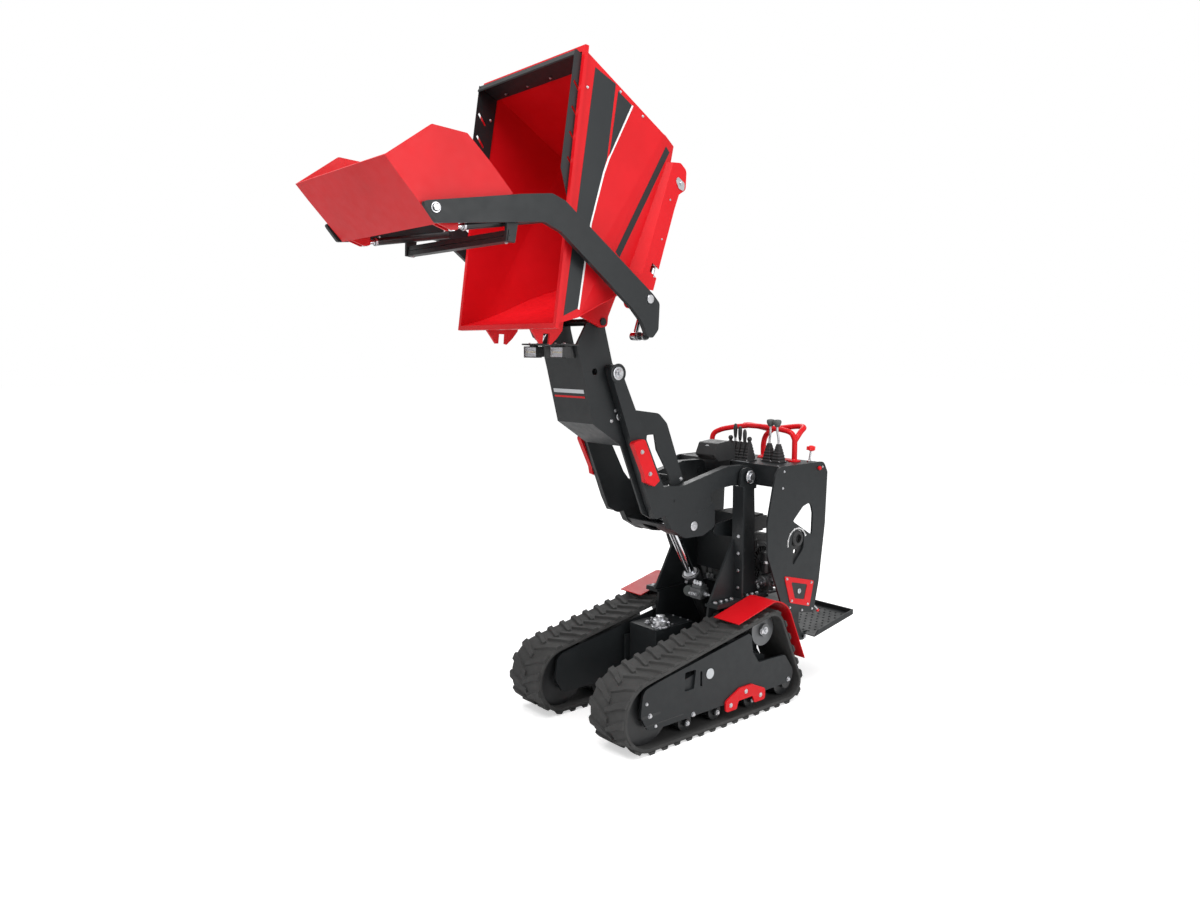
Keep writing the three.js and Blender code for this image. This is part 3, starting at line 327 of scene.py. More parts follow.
class Maker:
    # gathers shapes in millimetres and turns them into one piece

    def __init__(self, space=onMachine):
        self.mesh = bmesh.new()
        self.space = space

    def box(self, x0, x1, y0, y1, z0, z1, turn=None):
        middle = Vector(((x0 + x1) / 2, (y0 + y1) / 2, (z0 + z1) / 2))
        size = Matrix.Diagonal((abs(x1 - x0), abs(y1 - y0), abs(z1 - z0), 1))
        turned = Matrix.Translation(middle) @ (turn or Matrix.Identity(4)) @ size
        bmesh.ops.create_cube(self.mesh, size=1, matrix=turned)

    def slab(self, points, x0, x1, holes=()):
        # an outline in the side view, between two places across the machine
        self.prism(points, Vector((x0, 0, 0)), Vector((0, 1, 0)), Vector((0, 0, 1)),
            Vector((x1 - x0, 0, 0)), holes)

    def prism(self, points, origin, alongA, alongB, through, holes=()):
        edges = []
        for outline in [points, *holes]:
            line = [origin + alongA * p[0] + alongB * p[1] for p in roundedOutline(outline)]
            verts = [self.mesh.verts.new(p) for p in line]
            edges += [self.mesh.edges.new((verts[i - 1], verts[i])) for i in range(len(verts))]
        filled = bmesh.ops.triangle_fill(self.mesh, use_beauty=True, use_dissolve=False, edges=edges)
        capFaces = [g for g in filled["geom"] if isinstance(g, bmesh.types.BMFace)]
        raised = bmesh.ops.extrude_face_region(self.mesh, geom=capFaces)
        moved = [g for g in raised["geom"] if isinstance(g, bmesh.types.BMVert)]
        bmesh.ops.translate(self.mesh, verts=moved, vec=through)

    def lathe(self, profile, at, axis, sides=32, phase=0.0):
        # profile is (radius, distance along the axis); a radius of 0 closes an end
        axis = Vector(axis).normalized()
        across = axis.orthogonal().normalized()
        if abs(axis.x) > 0.9:
            across = Vector((0, 0, 1))
        third = axis.cross(across)
        rings = []
        for radius, along in profile:
            centre = Vector(at) + axis * along
            if radius == 0:
                rings.append([self.mesh.verts.new(centre)])
                continue
            rings.append([
                self.mesh.verts.new(centre + (across * math.cos(a) + third * math.sin(a)) * radius)
                for a in (phase + 2 * math.pi * i / sides for i in range(sides))
            ])
        for one, two in zip(rings, rings[1:]):
            for i in range(sides):
                j = (i + 1) % sides
                corners = [one[i % len(one)], one[j % len(one)], two[j % len(two)], two[i % len(two)]]
                kept = list(dict.fromkeys(corners))
                if len(kept) > 2:
                    self.mesh.faces.new(kept)

    def rod(self, a, b, radius, sides=24, chamfer=0.0):
        a, b = Vector(a), Vector(b)
        length = (b - a).length
        edge = chamfer or 0
        profile = [(0, 0), (radius - edge, 0)] + ([(radius, edge), (radius, length - edge)] if edge else [])
        profile += [(radius - edge, length), (0, length)]
        self.lathe(profile, a, b - a, sides)

    def tube(self, points, radius, sides=20, caps=True):
        line = [Vector(p) for p in points]
        rings = []
        normal = (line[1] - line[0]).orthogonal().normalized()
        for i, point in enumerate(line):
            ahead = line[min(i + 1, len(line) - 1)] - line[max(i - 1, 0)]
            ahead.normalize()
            normal = (normal - ahead * normal.dot(ahead)).normalized()
            side = ahead.cross(normal)
            rings.append([
                self.mesh.verts.new(point + (normal * math.cos(a) + side * math.sin(a)) * radius)
                for a in (2 * math.pi * k / sides for k in range(sides))
            ])
        for one, two in zip(rings, rings[1:]):
            for i in range(sides):
                j = (i + 1) % sides
                self.mesh.faces.new([one[i], one[j], two[j], two[i]])
        if caps:
            self.mesh.faces.new(rings[0])
            self.mesh.faces.new(rings[-1])

    def ball(self, at, radius, stretch=1.0, axis=(0, 0, 1), steps=12, sides=24):
        profile = [(radius * math.sin(math.pi * k / steps),
            -radius * stretch * math.cos(math.pi * k / steps))
                   for k in range(steps + 1)]
        profile[0] = (0, profile[0][1])
        profile[-1] = (0, profile[-1][1])
        self.lathe(profile, at, axis, sides)

    def bolt(self, at, axis, size=8.0, washer=True):
        # a hexagon head on its washer; size is the thread
        axis = Vector(axis).normalized()
        at = Vector(at)
        if washer:
            self.lathe([(0, 0), (size * 1.18, 0), (size * 1.18, size * 0.18), (0, size * 0.18)], at,
                axis, 24)
            at = at + axis * size * 0.18
        head = size * 0.95
        self.lathe([(0, 0), (head, 0), (head, size * 0.52), (head * 0.88, size * 0.64), (0, size * 0.64)],
                   at, axis, 6, at.y * 0.37)

    def capScrew(self, at, axis, size=8.0):
        axis = Vector(axis).normalized()
        r = size * 0.85
        self.lathe([(0, 0), (r, 0), (r, size * 0.5), (r * 0.86, size * 0.62), (r * 0.45, size * 0.62),
                    (r * 0.45, size * 0.3), (0, size * 0.3)], at, axis, 20)

    def piece(self, name, material, body, slot=None, rounding=0.0, both=False):
        if both:
            copy = self.mesh.copy()
            bmesh.ops.scale(copy, vec=(-1, 1, 1), verts=copy.verts)
            spare = bpy.data.meshes.new("spare")
            copy.to_mesh(spare)
            copy.free()
            self.mesh.from_mesh(spare)
            bpy.data.meshes.remove(spare)
        bmesh.ops.transform(self.mesh, matrix=self.space, verts=self.mesh.verts)
        bmesh.ops.recalc_face_normals(self.mesh, faces=self.mesh.faces)
        data = bpy.data.meshes.new(name)
        self.mesh.to_mesh(data)
        self.mesh.free()
        data.materials.append(finish[material])
        made = bpy.data.objects.new(name, data)
        bpy.context.scene.collection.objects.link(made)
        dressEdges(made, rounding)
        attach(made, body)
        return made


def dressNode(name, material, rounding):
    node = frame["nodes"][name]
    node.data.materials.clear()
    node.data.materials.append(finish[material])
    if "custom_normal" in node.data.attributes:
        node.data.attributes.remove(node.data.attributes["custom_normal"])
    dressEdges(node, rounding, weld=True)


carried = {
    "redPaint": ["fender_left", "fender_right", "rocker_left", "rocker_right", "arm_guard_left",
    "arm_guard_right",
                 "skip", "shovel"],
    "darkPaint": ["track_frame_left", "track_frame_right", "chassis", "tank", "tower", "lift_arm", "boom",
                  "boom_link", "spill_guard", "loader_arms", "console_side_left", "console_side_right",
                  "console_deck", "platform"],
    "blackPlastic": ["instrument_pod"],
    "blackSteel": ["roller_set_left", "roller_set_right", "front_idler_left", "front_idler_right",
    "lift_barrel",
                   "tip_barrel", "tilt_barrel_left", "tilt_barrel_right", "arm_barrel_left",
                   "arm_barrel_right"],
    "castMetal": ["drive_sprocket_left", "drive_sprocket_right"],
    "chromeRod": ["lift_rod", "tip_rod", "tilt_rod_left", "tilt_rod_right", "arm_rod_left",
    "arm_rod_right"],
}
for material, names in carried.items():
    for name in names:
        dressNode(name, material, 1.2)
print("stage: carried parts")


track = {
    "outer": 390,
    "inner": 175,
    "belt": 18,
    "lug": 10,
    "pitch": 72,
    "step": 6,  # along the belt, between two sections
    "wheels": [(-8, 163, 135), (728, 362, 75), (862, 94, 66)],  # y, z and radius inside the belt
}


def beltLine():
    # the inner line of the belt as evenly spaced points with outward normals
    rim = [(y + r * math.cos(a), z + r * math.sin(a)) for y, z, r in track["wheels"]
           for a in (2 * math.pi * k / 360 for k in range(360))]
    rim.sort()
    chains = []
    for points in (rim, rim[::-1]):
        chain = []
        for p in points:
            while len(chain) > 1:
                a, b = chain[-2:]
                if (b[0] - a[0]) * (p[1] - a[1]) - (b[1] - a[1]) * (p[0] - a[0]) > 1e-9:
                    break
                chain.pop()
            chain.append(p)
        chains += chain[:-1]
    corners = [Vector(p) for p in chains]
    lengths = [(corners[(i + 1) % len(corners)] - p).length for i, p in enumerate(corners)]
    total = sum(lengths)
    count = round(total / track["step"])
    line, i, gone = [], 0, 0.0
    for k in range(count):
        want = k * total / count
        while gone + lengths[i] < want:
            gone += lengths[i]
            i += 1
        ahead = corners[(i + 1) % len(corners)] - corners[i]
        line.append(corners[i] + ahead * ((want - gone) / lengths[i]))
    normals = []
    for k, p in enumerate(line):
        ahead = line[(k + 1) % count] - line[k - 1]
        normals.append(Vector((ahead.y, -ahead.x)).normalized())
    return line, normals, total


beltPoints, beltNormals, beltLength = beltLine()


def onBelt(along, x, height):
    k = (along % beltLength) / beltLength * len(beltPoints)
    i = int(k) % len(beltPoints)
    j = (i + 1) % len(beltPoints)
    t = k - int(k)
    spot = beltPoints[i].lerp(beltPoints[j], t)
    out = beltNormals[i].lerp(beltNormals[j], t).normalized()
    spot = spot + out * height
    return Vector((x, spot.x, spot.y))


def makeTrack(side, suffix):
    maker = Maker()
    inner, outer, belt = track["inner"], track["outer"], track["belt"]
    section = [(inner, 2), (inner + 3, 0), (outer - 3, 0), (outer, 2), (outer, belt - 6), (outer - 6, belt),
               (inner + 6, belt), (inner, belt - 6)]
    count = len(beltPoints)
    rings = []
    for i in range(count):
        rings.append([maker.mesh.verts.new(onBelt(i * beltLength / count, side * x, h)) for x,
            h in section])
    for i in range(count):
        one, two = rings[i], rings[(i + 1) % count]
        for k in range(len(section)):
            m = (k + 1) % len(section)
            maker.mesh.faces.new([one[k], one[m], two[m], two[k]])
    middle = (inner + outer) / 2
    lugs = round(beltLength / track["pitch"])
    pitch = beltLength / lugs
    top = belt + track["lug"]
    # a slanting bar from each edge past the middle, and a block between them
    bar = [(0, outer - 1, 15), (6, outer - 20, 14), (16, outer - 52, 12), (30, outer - 80, 11),
        (44, middle - 8, 9)]
    for n in range(lugs):
        for flip in (0, 1):
            base = (n + 0.5 * flip) * pitch
            loft = []
            for s, x, half in bar:
                x = inner + outer - x if flip else x
                loft.append([
                    maker.mesh.verts.new(onBelt(base + s + d * half, side * x, h))
                    for d, h in ((-1.25, belt - 1), (-0.8, top), (0.8, top), (1.25, belt - 1))
                ])
            for one, two in zip(loft, loft[1:]):
                for k in range(4):
                    m = (k + 1) % 4
                    maker.mesh.faces.new([one[k], one[m], two[m], two[k]])
            maker.mesh.faces.new(loft[0])
            maker.mesh.faces.new(loft[-1])
            # the wear block on the shoulder
            edge = inner + 16 if not flip else outer - 16
            wide = 14
            corner = [(base + s, edge + d * wide) for s, d in ((30, -1), (46, -1), (46, 1), (30, 1))]
            low = [maker.mesh.verts.new(onBelt(s, side * x, belt - 1)) for s, x in corner]
            high = [maker.mesh.verts.new(onBelt(s + (2 if k in (0, 3) else -2), side * x, belt + 5))
                    for k, (s, x) in enumerate(corner)]
            for k in range(4):
                m = (k + 1) % 4
                maker.mesh.faces.new([low[k], low[m], high[m], high[k]])
            maker.mesh.faces.new(high)
            maker.mesh.faces.new(low)
    made = maker.piece("belt_" + suffix, "trackRubber", "chassis", "rubber", 0.8)
    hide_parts("track_" + suffix)


frameTrim = {
    "plateX": 378,
    "bolts": [(236, 104, 9), (860, 112, 9), (667, 377, 11), (-13, 161, 9), (20, 110, 6), (-30, 214, 6)],
    "rockerX": 386,
    "rockerBolts": [(462, 88), (560, 128), (658, 88)],
    "cover": (336, 258, 23),
    # outline of a black sheet that paints the shade inside the tension slot
    "slot": [(-58, 156), (46, 156, 4), (46, 166, 4), (-58, 166)],
    "rollers": [215, 398, 628],
    "hub": (728, 362),
}


def makeFrameTrim(side, suffix):
    x = side * frameTrim["plateX"]
    maker = Maker()
    for y, z, size in frameTrim["bolts"]:
        maker.bolt((x, y, z), (side, 0, 0), size)
    for y, z in frameTrim["rockerBolts"]:
        # thin heads, so that they stay within the machine's width
        at = (side * frameTrim["rockerX"], y, z)
        maker.lathe([(0, 0), (10.5, 0), (10.5, 1.2), (0, 1.2)], at, (side, 0, 0), 24)
        maker.lathe([(0, 1.2), (8.5, 1.2), (8.5, 3), (7.6, 3.7), (0, 3.7)], at, (side, 0, 0), 6)
    for y in frameTrim["rollers"]:
        maker.bolt((side * 365.6, y, 66.3), (side, 0, 0), 9)
    y, z = frameTrim["hub"]
    maker.lathe([(0, 0), (17, 0), (17, 2), (0, 2)], (side * 348, y, z), (side, 0, 0), 28)
    maker.bolt((side * 350, y, z), (side, 0, 0), 11, False)
    maker.piece("frame_bolts_" + suffix, "zincPlate", "chassis", "bright_steel", 0.4)
    cover = Maker()
    y, z, r = frameTrim["cover"]
    cover.lathe([(0, 0), (r, 0), (r, 1.4), (r - 1.6, 2.6), (6, 2.9), (0, 2.9)], (x, y, z), (side, 0, 0), 40)
    cover.piece("frame_cover_" + suffix, "silverFilm", "chassis", "bright_steel")
    # the tension slot is a black sheet 0.5 mm thick, painted shade for the recess
    slot = Maker()
    slot.slab(frameTrim["slot"], x, x + side * 0.5)
    rail = [(-46, 118, 14), (180, 118), (180, 122), (-42, 122, 10)]
    slot.slab(rail, x, x + side * 0.5)
    slot.piece("frame_slot_shade_" + suffix, "blackSteel", "chassis", "black_steel")


for side, suffix in ((1, "left"), (-1, "right")):
    makeTrack(side, suffix)
    makeFrameTrim(side, suffix)
print("stage: tracks")


chassisTrim = {
    "foot": 490.5,
    "footX": 205,
    "footBolts": [548, 584, 620, 656, 724, 760, 796, 832],
}


def makeChassisTrim():
    bolts = Maker()
    for y in chassisTrim["footBolts"]:
        bolts.bolt((chassisTrim["footX"], y, chassisTrim["foot"]), (0, 0, 1), 9)
    for z in (540, 620, 700, 780):
        bolts.bolt((212, 690, z), (0, -1, 0), 7)
    for y, z in ((360, 190), (360, 270), (520, 200), (520, 280), (840, 430), (600, 430)):
        bolts.bolt((170, y, z), (1, 0, 0), 6)
    bolts.piece("chassis_bolts", "zincPlate", "chassis", "bright_steel", 0.3, both=True)
    pins = Maker()
    pins.lathe([(0, 0), (30, 0), (30, 5), (27, 7), (19, 7), (19, 13), (16, 15), (0, 15)],
               (198, *machine["liftPivot"]), (1, 0, 0), 40)
    pins.piece("tower_pins", "zincPlate", "chassis", "bright_steel", 0.4, both=True)
    # flat black discs on the tower plates: painted shade standing in for the holes
    holes = Maker()
    for y, z, r in ((760, 620, 9), (760, 700, 9), (742, 820, 7), (774, 820, 7), (742, 860, 7)):
        holes.lathe([(0, 0), (r, 0), (r, 0.5), (0, 0.5)], (184, y, z), (1, 0, 0), 24)
    holes.piece("tower_hole_shade", "blackPlastic", "chassis", "black_steel", both=True)


tankTrim = {"cap": (-8, 412, 359.5), "top": 360}


def makeTankTrim():
    silver = Maker()
    x, y, z = tankTrim["cap"]
    silver.lathe([(0, 0), (44, 0), (44, 5), (38, 6), (37, 30), (35.4, 35.6), (21.6, 36), (21, 52.6),
        (17, 54), (0, 54)],
                 (x, y, z), (0, 0, 1), 40)
    for k in range(6):
        a = k * math.pi / 3
        silver.bolt((x + 40 * math.cos(a), y + 40 * math.sin(a), z + 5), (0, 0, 1), 4.5, False)
    for k in range(3):
        a = k * 2 * math.pi / 3 + 0.4
        tip = Vector((x + 46 * math.cos(a), y + 46 * math.sin(a), z + 24))
        silver.rod((x + 30 * math.cos(a), y + 30 * math.sin(a), z + 24), tip, 5.5, 16, 1)
    # plugs and elbows beside the filler
    for px, py, r, h in ((-76, 392, 13, 16), (-86, 428, 9, 22), (-66, 440, 8, 14), (12, 366, 8, 12)):
        silver.lathe([(0, 0), (r, 0), (r, h * 0.5), (r * 0.7, h * 0.5), (r * 0.7, h), (0, h)],
                     (px, py, tankTrim["top"]), (0, 0, 1), 6 if r < 12 else 24)
    silver.piece("tank_fittings", "zincPlate", "chassis", "bright_steel", 0.5)
    plate = Maker()
    top = tankTrim["top"]
    plate.box(-98, 18, 462, 580, top + 0.2, top + 3.2)
    plate.piece("tank_cover", "darkPaint", "chassis", "dark_paint", 0.8)
    bolts = Maker()
    for px in (-90, -40, 10):
        for py in (470, 572):
            bolts.bolt((px, py, top + 3.2), (0, 0, 1), 5)
    bolts.piece("tank_bolts", "zincPlate", "chassis", "bright_steel", 0.2)


def fitting(maker, at, axis, radius=9.0, length=26.0):
    # a hexagon nut between two collars
    axis = Vector(axis).normalized()
    at = Vector(at)
    maker.lathe([(0, 0), (radius * 0.8, 0), (radius * 0.8, length * 0.25), (0, length * 0.25)], at,
        axis, 20)
    maker.lathe([(0, 0), (radius * 1.1, 0), (radius * 1.1, length * 0.42), (0, length * 0.42)],
                at + axis * length * 0.25, axis, 6)
    maker.lathe([(0, 0), (radius * 0.72, 0), (radius * 0.72, length * 0.33), (0, length * 0.33)],
                at + axis * length * 0.67, axis, 20)


def makeDeckValve():
    # the travel valve on the deck ahead of the tower
    body = Maker()
    body.box(36, 104, 556, 612, 482.4, 530)
    body.box(44, 98, 562, 606, 530, 546)
    body.piece("deck_valve", "castMetal", "chassis", "dark_paint", 1.5)
    silver = Maker()
    for x in (54, 71, 88):
        fitting(silver, (x, 572, 546), (0, 0, 1), 9, 20)
        fitting(silver, (x, 556, 508), (0, -1, 0), 7.5, 24)
    silver.rod((106, 584, 506), (120, 584, 506), 13, 24, 1)
    fitting(silver, (104, 584, 506), (1, 0, 0), 8, 36)
    silver.piece("deck_valve_fittings", "zincPlate", "chassis", "bright_steel", 0.3)
    cap = Maker()
    cap.lathe([(0, 0), (24, 0), (26, 3), (26, 12), (23, 15), (0, 16)], (20, 570, 508),
        (0.35, -0.9, 0.1), 36)
    cap.rod((20, 575, 482.4), (20, 575, 506), 11)
    cap.piece("deck_filter", "greyGrip", "chassis", "dark_paint", 0.5)


makeChassisTrim()
makeTankTrim()
makeDeckValve()
print("stage: chassis")


engine = {
    "x": (-118, 62),
    "y": (852, 1062),
    "crankcase": (486, 622),
    "shroud": {"y": 952, "z": 606, "radius": 104, "x": (60, 142)},
    "fins": 9,
    "finPitch": 11,
}


def makeEngine():
    x0, x1 = engine["x"]
    y0, y1 = engine["y"]
    z0, z1 = engine["crankcase"]
    cast = Maker()
    cast.box(x0, x1, y0 + 14, y1 - 14, z0 + 10, z1)
    cast.box(x0 - 16, x1 + 6, y0, y1, z0, z0 + 14)
    cast.box(x0 - 12, x0, y0 + 30, y1 - 30, z0 + 22, z1 - 8)
    for y in range(y0 + 34, y1 - 20, 22):
        cast.box(x0 + 6, x1 - 4, y, y + 5, z0 + 8, z1 + 6)
    lean = Matrix.Rotation(math.radians(-18), 4, "X")
    for k in range(engine["fins"]):
        wide = 62 if k % 2 else 66
        middle = Vector((-24, 930 + k * 3.4, z1 + 8 + k * engine["finPitch"]))
        cast.box(middle.x - wide, middle.x + wide, middle.y - 52, middle.y + 52, middle.z,
            middle.z + 4, lean)
    cast.box(-72, 24, 912, 1000, z1 - 6, z1 + 96, lean)
    cast.rod((-70, 900, 560), (-70, 856, 560), 26, 28, 2)
    cast.rod((-160, 960, 560), (x0 - 10, 960, 560), 44, 36, 3)
    cast.piece("engine_block", "castMetal", "chassis", "dark_paint", 1.2)

    shroud = engine["shroud"]
    cover = Maker()
    sx0 = shroud["x"][0]
    r = shroud["radius"]
    at = (sx0, shroud["y"], shroud["z"])
    cover.lathe([(0, 0), (r, 0), (r, 46), (r - 10, 60), (r - 26, 66), (r - 28, 60), (r - 60, 60),
        (r - 62, 70), (26, 76),
                 (22, 80), (0, 80)], at, (1, 0, 0), 56)
    for k in range(24):
        a = 2 * math.pi * k / 24
        mid = Vector((sx0 + 64, shroud["y"] + (r - 44) * math.cos(a), shroud["z"] + (r - 44) * math.sin(a)))
        turn = Matrix.Rotation(a, 4, "X")
        cover.box(mid.x - 4, mid.x + 4, mid.y - 16, mid.y + 16, mid.z - 2, mid.z + 2, turn)
    cover.box(sx0 - 40, sx0 + 44, shroud["y"] - 74, shroud["y"] + 66, shroud["z"] + 40, shroud["z"] + 132)
    made = cover.piece("engine_cowl", "blackPlastic", "chassis", "black_cover", 1.5)
    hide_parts("engine")

    tank = Maker()
    tank.box(-134, 104, 868, 1016, 762, 826)
    tank.box(-120, 90, 880, 1004, 750, 834)
    tank.rod((-30, 942, 830), (-30, 942, 834.8), 30, 32, 1)
    tank.piece("fuel_tank", "blackPlastic", "chassis", "black_cover", 9)

    hot = Maker()
    hot.box(-156, -74, 846, 930, 640, 738)
    hot.rod((-156, 884, 690), (-163, 884, 690), 13)
    hot.tube(smoothLine([(-60, 900, 640), (-70, 870, 640), (-90, 862, 650), (-100, 870, 662)]), 12)
    hot.piece("silencer", "exhaustSteel", "chassis", "bright_steel", 6)
    guard = Maker()
    for z in range(652, 732, 13):
        guard.box(-152, -78, 841, 843.5, z, z + 7)
    guard.box(-155, -148, 841, 846, 644, 736)
    guard.box(-82, -75, 841, 846, 644, 736)
    guard.piece("silencer_guard", "blackSteel", "chassis", "black_steel", 0.5)

    cleaner = Maker()
    cleaner.lathe([(0, 0), (40, 0), (46, 5), (46, 58), (42, 64), (14, 66), (14, 72), (0, 72)],
        (104, 876, 668),
                  (0, 0, 1), 40)
    cleaner.box(60, 104, 868, 890, 690, 712)
    cleaner.piece("air_cleaner", "blackPlastic", "chassis", "black_cover", 1.2)
    finsRing = Maker()
    for k in range(20):
        a = 2 * math.pi * k / 20
        turn = Matrix.Rotation(a, 4, "Z")
        spot = (104 + 47 * math.cos(a), 876 + 47 * math.sin(a))
        finsRing.box(spot[0] - 2, spot[0] + 2, spot[1] - 1.6, spot[1] + 1.6, 676, 724, turn)
    finsRing.piece("air_cleaner_ribs", "blackPlastic", "chassis", "black_cover", 0.4)

    silver = Maker()
    # bolts round the cowl, the sump plugs, the carburettor and its studs
    for k in range(8):
        a = 2 * math.pi * k / 8 + 0.3
        silver.bolt((sx0 + 60, shroud["y"] + (r - 12) * math.cos(a),
            shroud["z"] + (r - 12) * math.sin(a)), (1, 0, 0), 6)
    for x in (-100, -40, 30):
        silver.bolt((x, y0, z0 + 26), (0, -1, 0), 8)
        silver.bolt((x, y0 + 14, z1 - 20), (0, -1, 0), 7)
    silver.box(28, 62, 858, 892, 642, 684)
    silver.rod((45, 858, 662), (45, 842, 662), 12, 24, 1)
    silver.bolt((45, 875, 642), (0, 0, -1), 7)
    for k in range(4):
        fitting(silver, (-146, 924 + 24 * k, 606), (0, 0, 1), 8, 26)
    silver.piece("engine_hardware", "zincPlate", "chassis", "bright_steel", 0.4)


pump = {"x": 196, "y": 912, "plate": 482.4}


def makePump():
    # the pump and its canister filter on a bracket beside the engine
    x, y, z = pump["x"], pump["y"], pump["plate"]
    cast = Maker()
    cast.box(148, 238, 884, 942, z, z + 9)
    cast.box(x - 26, x + 26, y - 22, y + 18, z + 9, z + 80)
    cast.rod((x, 872, z + 52), (x, 948, z + 52), 27, 32, 3)
    cast.rod((x, 948, z + 52), (x, 962, z + 52), 18, 32, 2)
    cast.box(x - 34, x + 34, y - 16, y + 16, z + 80, z + 94)
    cast.piece("pump_body", "castMetal", "chassis", "dark_paint", 1.5)
    can = Maker()
    can.lathe([(0, 0), (30, 0), (32, 4), (32, 92), (29, 98), (12, 100), (0, 100)], (x, y, z + 94),
        (0, 0, 1), 36)
    for k in range(12):
        a = math.pi * k / 6
        turn = Matrix.Rotation(a, 4, "Z")
        can.box(x + 31 * math.cos(a) - 2, x + 31 * math.cos(a) + 2, y + 31 * math.sin(a) - 2,
                y + 31 * math.sin(a) + 2, z + 166, z + 190, turn)
    can.piece("pump_filter", "blackSteel", "chassis", "black_steel", 0.6)
    silver = Maker()
    for dx, dy in ((-22, -10), (22, -10), (-22, 10), (22, 10)):
        silver.bolt((x + dx, y + dy, z + 94), (0, 0, 1), 4)
    for dx in (-15, 15):
        fitting(silver, (x + dx, 872, z + 52), (0, -1, 0), 9, 30)
        silver.bolt((x + dx * 2.4, 890, z + 9), (0, 0, 1), 6)
    fitting(silver, (x + 26, y, z + 40), (1, 0, 0), 10, 34)
    fitting(silver, (x + 26, y - 4, z + 66), (1, 0, 0), 8, 28)
    silver.lathe([(32.2, 0), (33.6, 0), (33.6, 12), (32.2, 12)], (x, y, z + 140), (0, 0, 1), 40)
    silver.piece("pump_fittings", "zincPlate", "chassis", "bright_steel", 0.3)


pipework = {
    "radius": 6,
    "runs": [
        [(150, 842, 500), (150, 838, 540), (140, 842, 580), (120, 838, 600)],
        [(132, 846, 500), (128, 838, 560), (112, 838, 640)],
        [(160, 862, 500), (158, 850, 560), (152, 846, 620), (138, 846, 640)],
        [(96, 842, 498), (92, 838, 540), (70, 838, 590), (60, 842, 622)],
        [(-120, 842, 500), (-124, 838, 560), (-110, 840, 620)],
        [(20, 842, 500), (10, 838, 560), (-10, 838, 600), (-14, 844, 630)],
        [(60, 842, 480), (70, 836, 520), (96, 838, 560), (104, 842, 600)],
    ],
}


def makePipework():
    pipes = Maker()
    nuts = Maker()
    for run in pipework["runs"]:
        line = smoothLine(run, 6)
        pipes.tube(line, pipework["radius"], 14)
        fitting(nuts, line[0], line[1] - line[0], 9.5, 26)
        fitting(nuts, line[-1], line[-2] - line[-1], 9.5, 26)
        middle = line[len(line) // 2]
        nuts.lathe([(0, 0), (8.5, 0), (8.5, 9), (0, 9)], middle, line[len(line) // 2 + 1] - middle, 6)
    pipes.piece("pipes", "blackSteel", "chassis", "black_steel")
    nuts.piece("pipe_nuts", "zincPlate", "chassis", "bright_steel", 0.3)


makeEngine()
makePump()
makePipework()
print("stage: engine")


armTrim = {"outer": 162, "boomPin": (1, 1535), "eyePin": (450, 850), "tipPin": (43, 1356),
    "boomOuter": 118, "guardX": 188,
           "guardBolts": [(112, 1208), (158, 1112)]}


def makeArmTrim():
    silver = Maker()
    y, z = armTrim["boomPin"]
    silver.lathe([(0, 0), (27, 0), (27, 4), (25, 5), (0, 5)], (armTrim["outer"] + 0.2, y, z), (1, 0, 0), 40)
    silver.lathe([(16.2, 0), (19, 0), (19, 11), (17, 13), (0, 13)], (armTrim["outer"] + 0.2, y, z),
        (1, 0, 0), 40)
    silver.lathe([(0, 0), (12, 0), (12, 6), (10.5, 7.5), (0, 7.5)], (armTrim["outer"] + 13, y, z),
        (1, 0, 0), 6)
    for y, z in armTrim["guardBolts"]:
        silver.bolt((armTrim["guardX"], y, z), (1, 0, 0), 8)
    # thin, since this pin head passes inside the tower's plates
    y, z = armTrim["eyePin"]
    silver.lathe([(0, 0), (21, 0), (21, 2), (18, 3), (0, 3)], (armTrim["outer"], y, z), (1, 0, 0), 36)
    silver.lathe([(0, 0), (11, 0), (11, 1), (10, 1.6), (0, 1.6)], (armTrim["outer"] + 3, y, z),
        (1, 0, 0), 6)
    silver.piece("lift_arm_pins", "zincPlate", "lift_arm", "bright_steel", 0.4, both=True)
    weld = Maker()
    # the boss rings round the pivots and the stiffener along the lower plate
    weld.lathe([(28, 0), (40, 0), (40, 3), (37, 4.5), (28, 4.5)],
        (armTrim["outer"], *armTrim["boomPin"]), (1, 0, 0), 40)
    weld.lathe([(0, 0), (6, 0), (6, 3), (0, 4)], (armTrim["outer"], 330, 975), (1, 0, 0), 20)
    weld.slab([(470, 900), (560, 914, 8), (560, 926, 8), (470, 912)], armTrim["outer"],
        armTrim["outer"] + 0.6)
    weld.piece("lift_arm_bosses", "darkPaint", "lift_arm", "dark_paint", 0.5, both=True)

    pins = Maker()
    y, z = armTrim["tipPin"]
    pins.lathe([(0, 0), (17, 0), (17, 3), (15, 4.5), (0, 4.5)], (122, y, z), (1, 0, 0), 32)
    for dy, dz in ((-17, 24), (-39, -18)):
        pins.bolt((armTrim["boomOuter"], y + dy, z + dz), (1, 0, 0), 6.5)
    pins.bolt((armTrim["boomOuter"], 408, 1060), (1, 0, 0), 8)
    pins.piece("boom_pins", "zincPlate", "boom", "bright_steel", 0.4, both=True)


boomFront = {
    "low": (-95, 1330),
    "high": (-151, 1556),
    "half": 100,
    "film": 0.5,
    "bands": {"silver": ("silverFilm", 128, 144), "red": ("redPaint", 108, 116)},
}


def strokeOutline(points, widths):
    # a band of changing width along a bent line
    line = [Vector(p) for p in points]
    left, right = [], []
    for i, point in enumerate(line):
        ahead = (line[min(i + 1, len(line) - 1)] - line[max(i - 1, 0)]).normalized()
        side = Vector((-ahead.y, ahead.x)) * widths[i] / 2
        left.append(tuple(point + side))
        right.append(tuple(point - side))
    return left + right[::-1]


